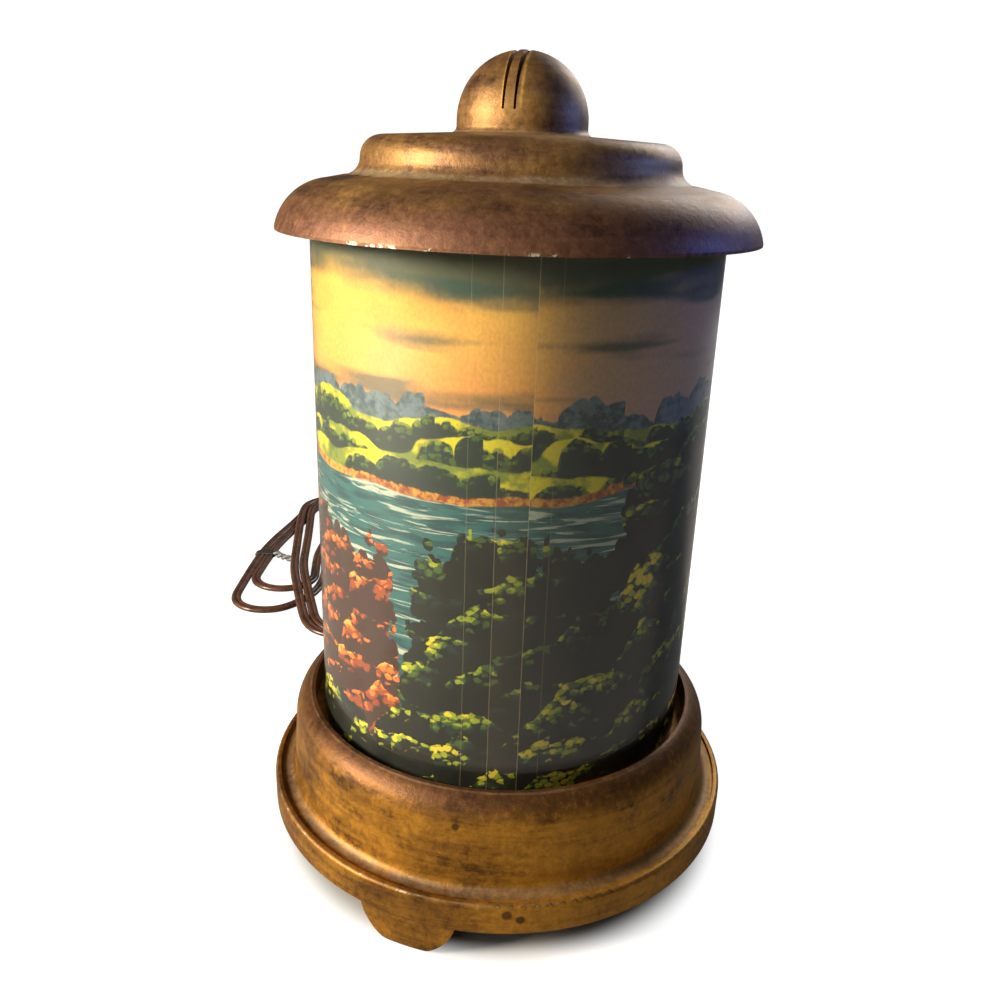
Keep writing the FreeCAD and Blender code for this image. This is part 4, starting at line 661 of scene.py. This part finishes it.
brass = finish("tarnishedBrass", (0.66, 0.45, 0.17), (0.30, 0.19, 0.08), 0.95, 0.34, 70, (1, 1, 4))
aluminium = finish("bareAluminium", (0.72, 0.72, 0.71), (0.52, 0.52, 0.51), 0.95, 0.32, 120, (4, 1, 1))
fibre = finish("fibreBoard", (0.17, 0.13, 0.10), (0.09, 0.07, 0.055), 0, 0.8, 160)
porcelain = finish("glazedPorcelain", (0.82, 0.79, 0.71), (0.68, 0.64, 0.55), 0, 0.15, 30, Coat_Weight=0.6)
rotorFilm = rippledFilm("rotorFilm", rippleFilm)
rubber = finish("brownRubber", (0.055, 0.030, 0.020), (0.030, 0.017, 0.012), 0, 0.42, 140)
vinyl = finish("brownVinyl", (0.105, 0.046, 0.026), (0.055, 0.024, 0.014), 0, 0.30, 120)
plugBrown = finish("plugBrown", (0.070, 0.032, 0.018), (0.040, 0.020, 0.013), 0, 0.34, 90)
for material, names in (
        (steel, "socket_bracket bracket_screws lamp_pipe pipe_locknuts pivot_bridge bridge_nuts"),
        (steel, "support_wires filament rotor_hoop"),
        (toolSteel, "needle_pin"),
        (brass, "socket_cap socket_shell screw_shell contact_tongue bearing_cup sleeve_eyelets"),
        (brass, "plug_blades"),
        (aluminium, "bulb_screw_cap bulb_contact fan_disc"),
        (fibre, "shell_liner"),
        (porcelain, "socket_insulator"),
        (rotorFilm, "rotor_sleeve"),
        (rubber, "cord_bushing"),
        (vinyl, "inner_lead"),
        (plugBrown, "plug_body")):
    for nodeName in names.split():
        dressing[nodeName] = material
for nodeName, material in dressing.items():
    nodes[nodeName].data.materials.clear()
    nodes[nodeName].data.materials.append(material)
flex.data.materials.append(vinyl)
print("materials made")


# Patterns: node trees for what repeats. Their sizes are named inputs, in metres.

class Pattern:
    def __init__(self, name, **inputs):
        self.tree = bpy.data.node_groups.new(name, "GeometryNodeTree")
        face = self.tree.interface
        face.new_socket("Geometry", in_out="INPUT", socket_type="NodeSocketGeometry")
        for label, kind in inputs.items():
            face.new_socket(label, in_out="INPUT", socket_type="NodeSocket" + kind)
        face.new_socket("Geometry", in_out="OUTPUT", socket_type="NodeSocketGeometry")
        self.given = self.tree.nodes.new("NodeGroupInput").outputs

    def add(self, kind, feeds, **settings):
        made = self.tree.nodes.new(kind)
        for key, value in settings.items():
            setattr(made, key, value)
        for key, value in feeds.items():
            if isinstance(value, bpy.types.NodeSocket):
                self.tree.links.new(value, made.inputs[key])
            else:
                made.inputs[key].default_value = value
        return made.outputs[0]

    def finish(self, geometry):
        plain = self.add("GeometryNodeRealizeInstances", {"Geometry": geometry})
        dressed = self.add("GeometryNodeSetMaterial", {"Geometry": plain, "Material": self.given["finish"]})
        end = self.tree.nodes.new("NodeGroupOutput")
        self.tree.links.new(dressed, end.inputs[0])
        return self

    def piece(self, name, body, slotName, **values):
        holder = bpy.data.objects.new(name + "Holder", bpy.data.meshes.new(name + "Holder"))
        bpy.context.scene.collection.objects.link(holder)
        modifier = holder.modifiers.new("pattern", "NODES")
        modifier.node_group = self.tree
        for item in self.tree.interface.items_tree:
            if item.in_out == "INPUT" and item.name in values:
                modifier[item.identifier] = values[item.name]
        mesh = bpy.data.meshes.new_from_object(holder.evaluated_get(bpy.context.evaluated_depsgraph_get()))
        holder.modifiers.remove(modifier)
        bpy.data.objects.remove(holder)
        mesh.name = name
        mesh.polygons.foreach_set("use_smooth", [True] * len(mesh.polygons))
        return addPiece(name, mesh, body, slotName)


patternSides = {"ring": 48, "bead": 8, "rib": 10}


def ringPattern():
    # rings round a line, from one radius to another
    pattern = Pattern("ringPattern", count="Int", start="Vector", end="Vector", startRadius="Float",
                      endRadius="Float", bead="Float", finish="Material")
    given = pattern.given
    row = pattern.add("GeometryNodeMeshLine", {
        "Count": given["count"], "Start Location": given["start"], "Offset": given["end"]}, mode="END_POINTS")
    thickness = pattern.add("ShaderNodeMath", {0: given["bead"], 1: given["startRadius"]}, operation="DIVIDE")
    circle = pattern.add("GeometryNodeCurvePrimitiveCircle", {
        "Resolution": patternSides["ring"], "Radius": 1.0})
    section = pattern.add("GeometryNodeCurvePrimitiveCircle", {
        "Resolution": patternSides["bead"], "Radius": thickness})
    ring = pattern.add("GeometryNodeCurveToMesh", {"Curve": circle, "Profile Curve": section})
    last = pattern.add("ShaderNodeMath", {0: given["count"], 1: 1.0}, operation="SUBTRACT")
    place = pattern.add("GeometryNodeInputIndex", {})
    radius = pattern.add("ShaderNodeMapRange", {
        0: place, 1: 0.0, 2: last, 3: given["startRadius"], 4: given["endRadius"]})
    along = pattern.add("ShaderNodeVectorMath", {0: given["end"], 1: given["start"]}, operation="SUBTRACT")
    turn = pattern.add("FunctionNodeAlignRotationToVector", {"Vector": along}, axis="Z")
    return pattern.finish(pattern.add("GeometryNodeInstanceOnPoints", {
        "Points": row, "Instance": ring, "Rotation": turn, "Scale": radius}))


def ribPattern():
    # upright round bars along two lines
    pattern = Pattern("ribPattern", count="Int", leftStart="Vector", leftEnd="Vector", rightStart="Vector",
                      rightEnd="Vector", foot="Vector", head="Vector", thickness="Float", finish="Material")
    given = pattern.given
    spine = pattern.add("GeometryNodeCurvePrimitiveLine", {"Start": given["foot"], "End": given["head"]})
    section = pattern.add("GeometryNodeCurvePrimitiveCircle", {
        "Resolution": patternSides["rib"], "Radius": given["thickness"]})
    bar = pattern.add("GeometryNodeCurveToMesh", {
        "Curve": spine, "Profile Curve": section, "Fill Caps": True})
    both = pattern.tree.nodes.new("GeometryNodeJoinGeometry")
    for side in ("left", "right"):
        row = pattern.add("GeometryNodeMeshLine", {
            "Count": given["count"], "Start Location": given[side + "Start"],
            "Offset": given[side + "End"]}, mode="END_POINTS")
        bars = pattern.add("GeometryNodeInstanceOnPoints", {"Points": row, "Instance": bar})
        pattern.tree.links.new(bars, both.inputs[0])
    return pattern.finish(both.outputs[0])


# Small pieces on the cord and the lamp holder

bushingRibs = {"count": 5, "start": (0, 0.0772, 0.033), "end": (0, 0.0864, 0.033),
               "startRadius": 0.00590, "endRadius": 0.00395, "bead": 0.00045}
shellBeads = {"count": 2, "start": (0, 0, 0.0530), "end": (0, 0, 0.0815),
              "startRadius": 0.01640, "endRadius": 0.01640, "bead": 0.00055}
plugGrip = {"entry": (-0.04896, 0.17628, 0.0082), "heading": (0.2588, 0.9659, 0), "halfWidth": 0.01135,
            "first": 0.0135, "last": 0.0275, "ribs": 7, "ribRadius": 0.0006, "ribHalf": 0.0043}

rings = ringPattern()
ribbing = [rings.piece("bushingRibs", "base", "brown_rubber", finish=rubber, **bushingRibs)]
rings.piece("shellBeads", "base", "lamp_brass", finish=brass, **shellBeads)


def gripRibs(settings):
    entry, heading = Vector(settings["entry"]), Vector(settings["heading"])
    sideways = Vector((heading.y, -heading.x, 0)) * settings["halfWidth"]
    ends = {}
    for side, sign in (("left", -1), ("right", 1)):
        for place, key in (("Start", "first"), ("End", "last")):
            ends[side + place] = tuple(entry + heading * settings[key] + sideways * sign)
    return ribPattern().piece("plugRibs", "base", "plug_brown", count=settings["ribs"], finish=plugBrown,
                              foot=(0, 0, -settings["ribHalf"]), head=(0, 0, settings["ribHalf"]),
                              thickness=settings["ribRadius"], **ends)


ribbing.append(gripRibs(plugGrip))


def roundSection(radius, steps):
    angles = [2 * math.pi * k / steps for k in range(steps)]
    return [(radius * math.cos(angle), radius * math.sin(angle)) for angle in angles]


def joined(name, meshes):
    shell = bmesh.new()
    for mesh in meshes:
        shell.from_mesh(mesh)
    result = bpy.data.meshes.new(name)
    shell.to_mesh(result)
    shell.free()
    return result


# Twist tie round the two outer strands: a flat black strip and its grey twisted ends. Millimetres.

twistTie = {
    "strip": [
        (-135.9, 209.6, 2.2), (-137.5, 210, 2.78), (-141.4, 210, 2.5), (-145.3, 210, 2.78),
        (-146.9, 210, 2.1), (-146.9, 210, 1.1), (-145.8, 210, 0.58), (-141.4, 210, 0.55),
        (-136.8, 210, 0.58), (-135.7, 210, 1.1), (-135.6, 210.2, 1.7), (-134.9, 209.2, 2.1),
    ],
    "stripSection": [(-2.6, -0.1), (-2.1, -0.12), (2.1, -0.12), (2.6, -0.1), (2.6, 0.15), (1.6, 0.5),
                     (-1.6, 0.5), (-2.6, 0.15)],
    "tail": [(-135.6, 209.4, 2.3), (-133.4, 207.8, 2.4), (-130.4, 205.8, 2.05), (-126.8, 203.8, 2.0),
             (-123.6, 202.8, 2.0)],
    "wireRadius": 1.0, "wireSides": 8, "twistRadius": 0.95, "twists": 1.6,
}


def tieTailMesh(settings):
    line = splinePath("tieTail", settings["tail"])
    section = roundSection(settings["wireRadius"] / 1000, settings["wireSides"])
    wires = []
    for start in (0, math.pi):
        wound = []
        for k, place in enumerate(line):
            turn = start + 2 * math.pi * settings["twists"] * k / (len(line) - 1)
            heading = (line[min(k + 1, len(line) - 1)] - line[max(k - 1, 0)]).normalized()
            across = heading.cross(Vector((0, 0, 1))).normalized()
            off = across * math.cos(turn) + across.cross(heading) * math.sin(turn)
            wound.append(place + off * settings["twistRadius"] / 1000)
        wires.append(sweptMesh("tieWire", wound, section))
    return joined("tieTail", wires)


tieBlack = finish("tieBlack", (0.030, 0.030, 0.032), (0.012, 0.012, 0.013), 0, 0.5, 300)
tieGrey = finish("tieGrey", (0.23, 0.24, 0.25), (0.12, 0.125, 0.13), 0, 0.5, 300)
stripSection = [(across / 1000, out / 1000) for across, out in twistTie["stripSection"]]
strip = sweptMesh("tieStrip", splinePath("tieStrip", twistTie["strip"]), stripSection, Vector((0, 1, 0)))
for name, mesh, look in (("tieStrip", strip, tieBlack), ("tieTail", tieTailMesh(twistTie), tieGrey)):
    ribbing.append(addPiece(name, mesh, "base", "brown_rubber"))
    mesh.materials.append(look)
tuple(cordPath[0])


# Filament: a fine coil where the plain ring is

coil = {"radius": 0.0110, "height": 0.1402, "arc": 354, "turns": 64, "coilRadius": 0.00036, "steps": 9,
        "wire": 0.00011, "wireSides": 5}


def coilMesh(settings):
    line = []
    count = settings["turns"] * settings["steps"]
    for k in range(count):
        around = math.radians(settings["arc"]) * k / (count - 1)
        turn = 2 * math.pi * k / settings["steps"]
        reach = settings["radius"] + settings["coilRadius"] * math.cos(turn)
        line.append(Vector((reach * math.cos(around), reach * math.sin(around),
                            settings["height"] + settings["coilRadius"] * math.sin(turn))))
    section = roundSection(settings["wire"], settings["wireSides"])
    return sweptMesh("filamentCoil", line, section, Vector((0, 0, 1)))


tungsten = finish("tungsten", (0.30, 0.30, 0.32), (0.16, 0.16, 0.17), 0.95, 0.45, 900)
addPiece("filamentCoil", coilMesh(coil), "base", "zinc_steel", "filament").data.materials.append(tungsten)
print("small pieces made")


# Studio: pale sweep, a low warm light at the left, weak cool ones at the right and behind

studio = {
    "worldTone": (1.0, 1.0, 1.0), "worldStrength": 0.07, "worldSeen": 1.0,
    "lights": {
        "key": {"place": (-1.02, -0.40, 0.46), "aim": (0, 0, 0.13), "size": 0.30, "power": 34,
                "tone": (1.0, 0.87, 0.70)},
        "front": {"place": (-0.65, -1.0, 0.9), "aim": (0, 0, 0.13), "size": 0.8, "power": 2.4,
                  "tone": (1.0, 0.95, 0.86)},
        "cool": {"place": (0.80, 0.12, 0.42), "aim": (0.01, 0, 0.235), "size": 0.10, "power": 0.045,
                 "tone": (0.10, 0.22, 1.0), "spread": 20},
        "back": {"place": (0.65, 1.05, 0.8), "aim": (0, 0, 0.10), "size": 0.7, "power": 8.5,
                 "tone": (0.95, 0.97, 1.0)},
    },
}
sweep = {
    "halfWidth": 3.5, "front": -2.2, "bend": 1.2, "bendRadius": 0.8, "bendSteps": 10, "top": 3.5,
    "gap": 0.0002,      # below the feet
    "tone": (0.34, 0.34, 0.335), "glow": 0.93, "glowFrom": (0.070, 0.083),
}


def areaLight(name, settings):
    lamp = bpy.data.lights.new(name, "AREA")
    lamp.shape = "DISK"
    lamp.size = settings["size"]
    lamp.energy = settings["power"]
    lamp.color = settings["tone"]
    lamp.spread = math.radians(settings.get("spread", 180))
    holder = bpy.data.objects.new(name, lamp)
    aim = Vector(settings["aim"]) - Vector(settings["place"])
    turn = aim.to_track_quat("-Z", "Y").to_matrix()
    holder.matrix_world = Matrix.Translation(settings["place"]) @ turn.to_4x4()
    bpy.context.scene.collection.objects.link(holder)


def paleSweep(settings):
    # the floor curves up behind the lamp
    bend, radius, steps = settings["bend"], settings["bendRadius"], settings["bendSteps"]
    depth = [(settings["front"], 0), (bend, 0)]
    for k in range(1, steps + 1):
        angle = math.radians(90 * k / steps)
        depth.append((bend + radius * math.sin(angle), radius - radius * math.cos(angle)))
    depth.append((bend + radius, settings["top"]))
    points = [(side * settings["halfWidth"], y, z - settings["gap"]) for y, z in depth for side in (-1, 1)]
    faces = [(2 * k, 2 * k + 1, 2 * k + 3, 2 * k + 2) for k in range(len(depth) - 1)]
    floor = bpy.data.objects.new("floor", meshOf("floor", points, faces))
    bpy.context.scene.collection.objects.link(floor)
    paper = Paint("paperSweep")
    brighter = tuple(part * 1.02 for part in settings["tone"])
    tone = paper.mix(paper.step(paper.noise(scale=3), 0.3, 0.7), settings["tone"], brighter)
    # the camera sees the paper a little brighter than the lamp does, but not under the lamp
    x, y, _ = paper.parts()
    seen = paper.field(paper.add("ShaderNodeLightPath"), "Is Camera Ray")
    glow = seen * paper.step(paper.length(x, y), *settings["glowFrom"]) * settings["glow"]
    floor.data.materials.append(paper.set(Base_Color=tone, Roughness=0.9, Emission_Color=(1, 1, 1),
                                          Emission_Strength=glow))


def paleWorld(settings):
    world = bpy.data.worlds.new("studioWorld")
    world.use_nodes = True
    tree = world.node_tree
    background = tree.nodes["Background"].inputs
    background["Color"].default_value = (*settings["worldTone"], 1)
    # the camera sees plain white beyond the paper
    path = tree.nodes.new("ShaderNodeLightPath")
    strength = tree.nodes.new("ShaderNodeMapRange")
    strength.inputs["To Min"].default_value = settings["worldStrength"]
    strength.inputs["To Max"].default_value = settings["worldSeen"]
    tree.links.new(path.outputs["Is Camera Ray"], strength.inputs["Value"])
    tree.links.new(strength.outputs["Result"], background["Strength"])
    bpy.context.scene.world = world


for lightName, settings in studio["lights"].items():
    areaLight(lightName + "Light", settings)
paleSweep(sweep)
paleWorld(studio)
bpy.context.scene.view_settings.view_transform = "Standard"
print("studio lit")
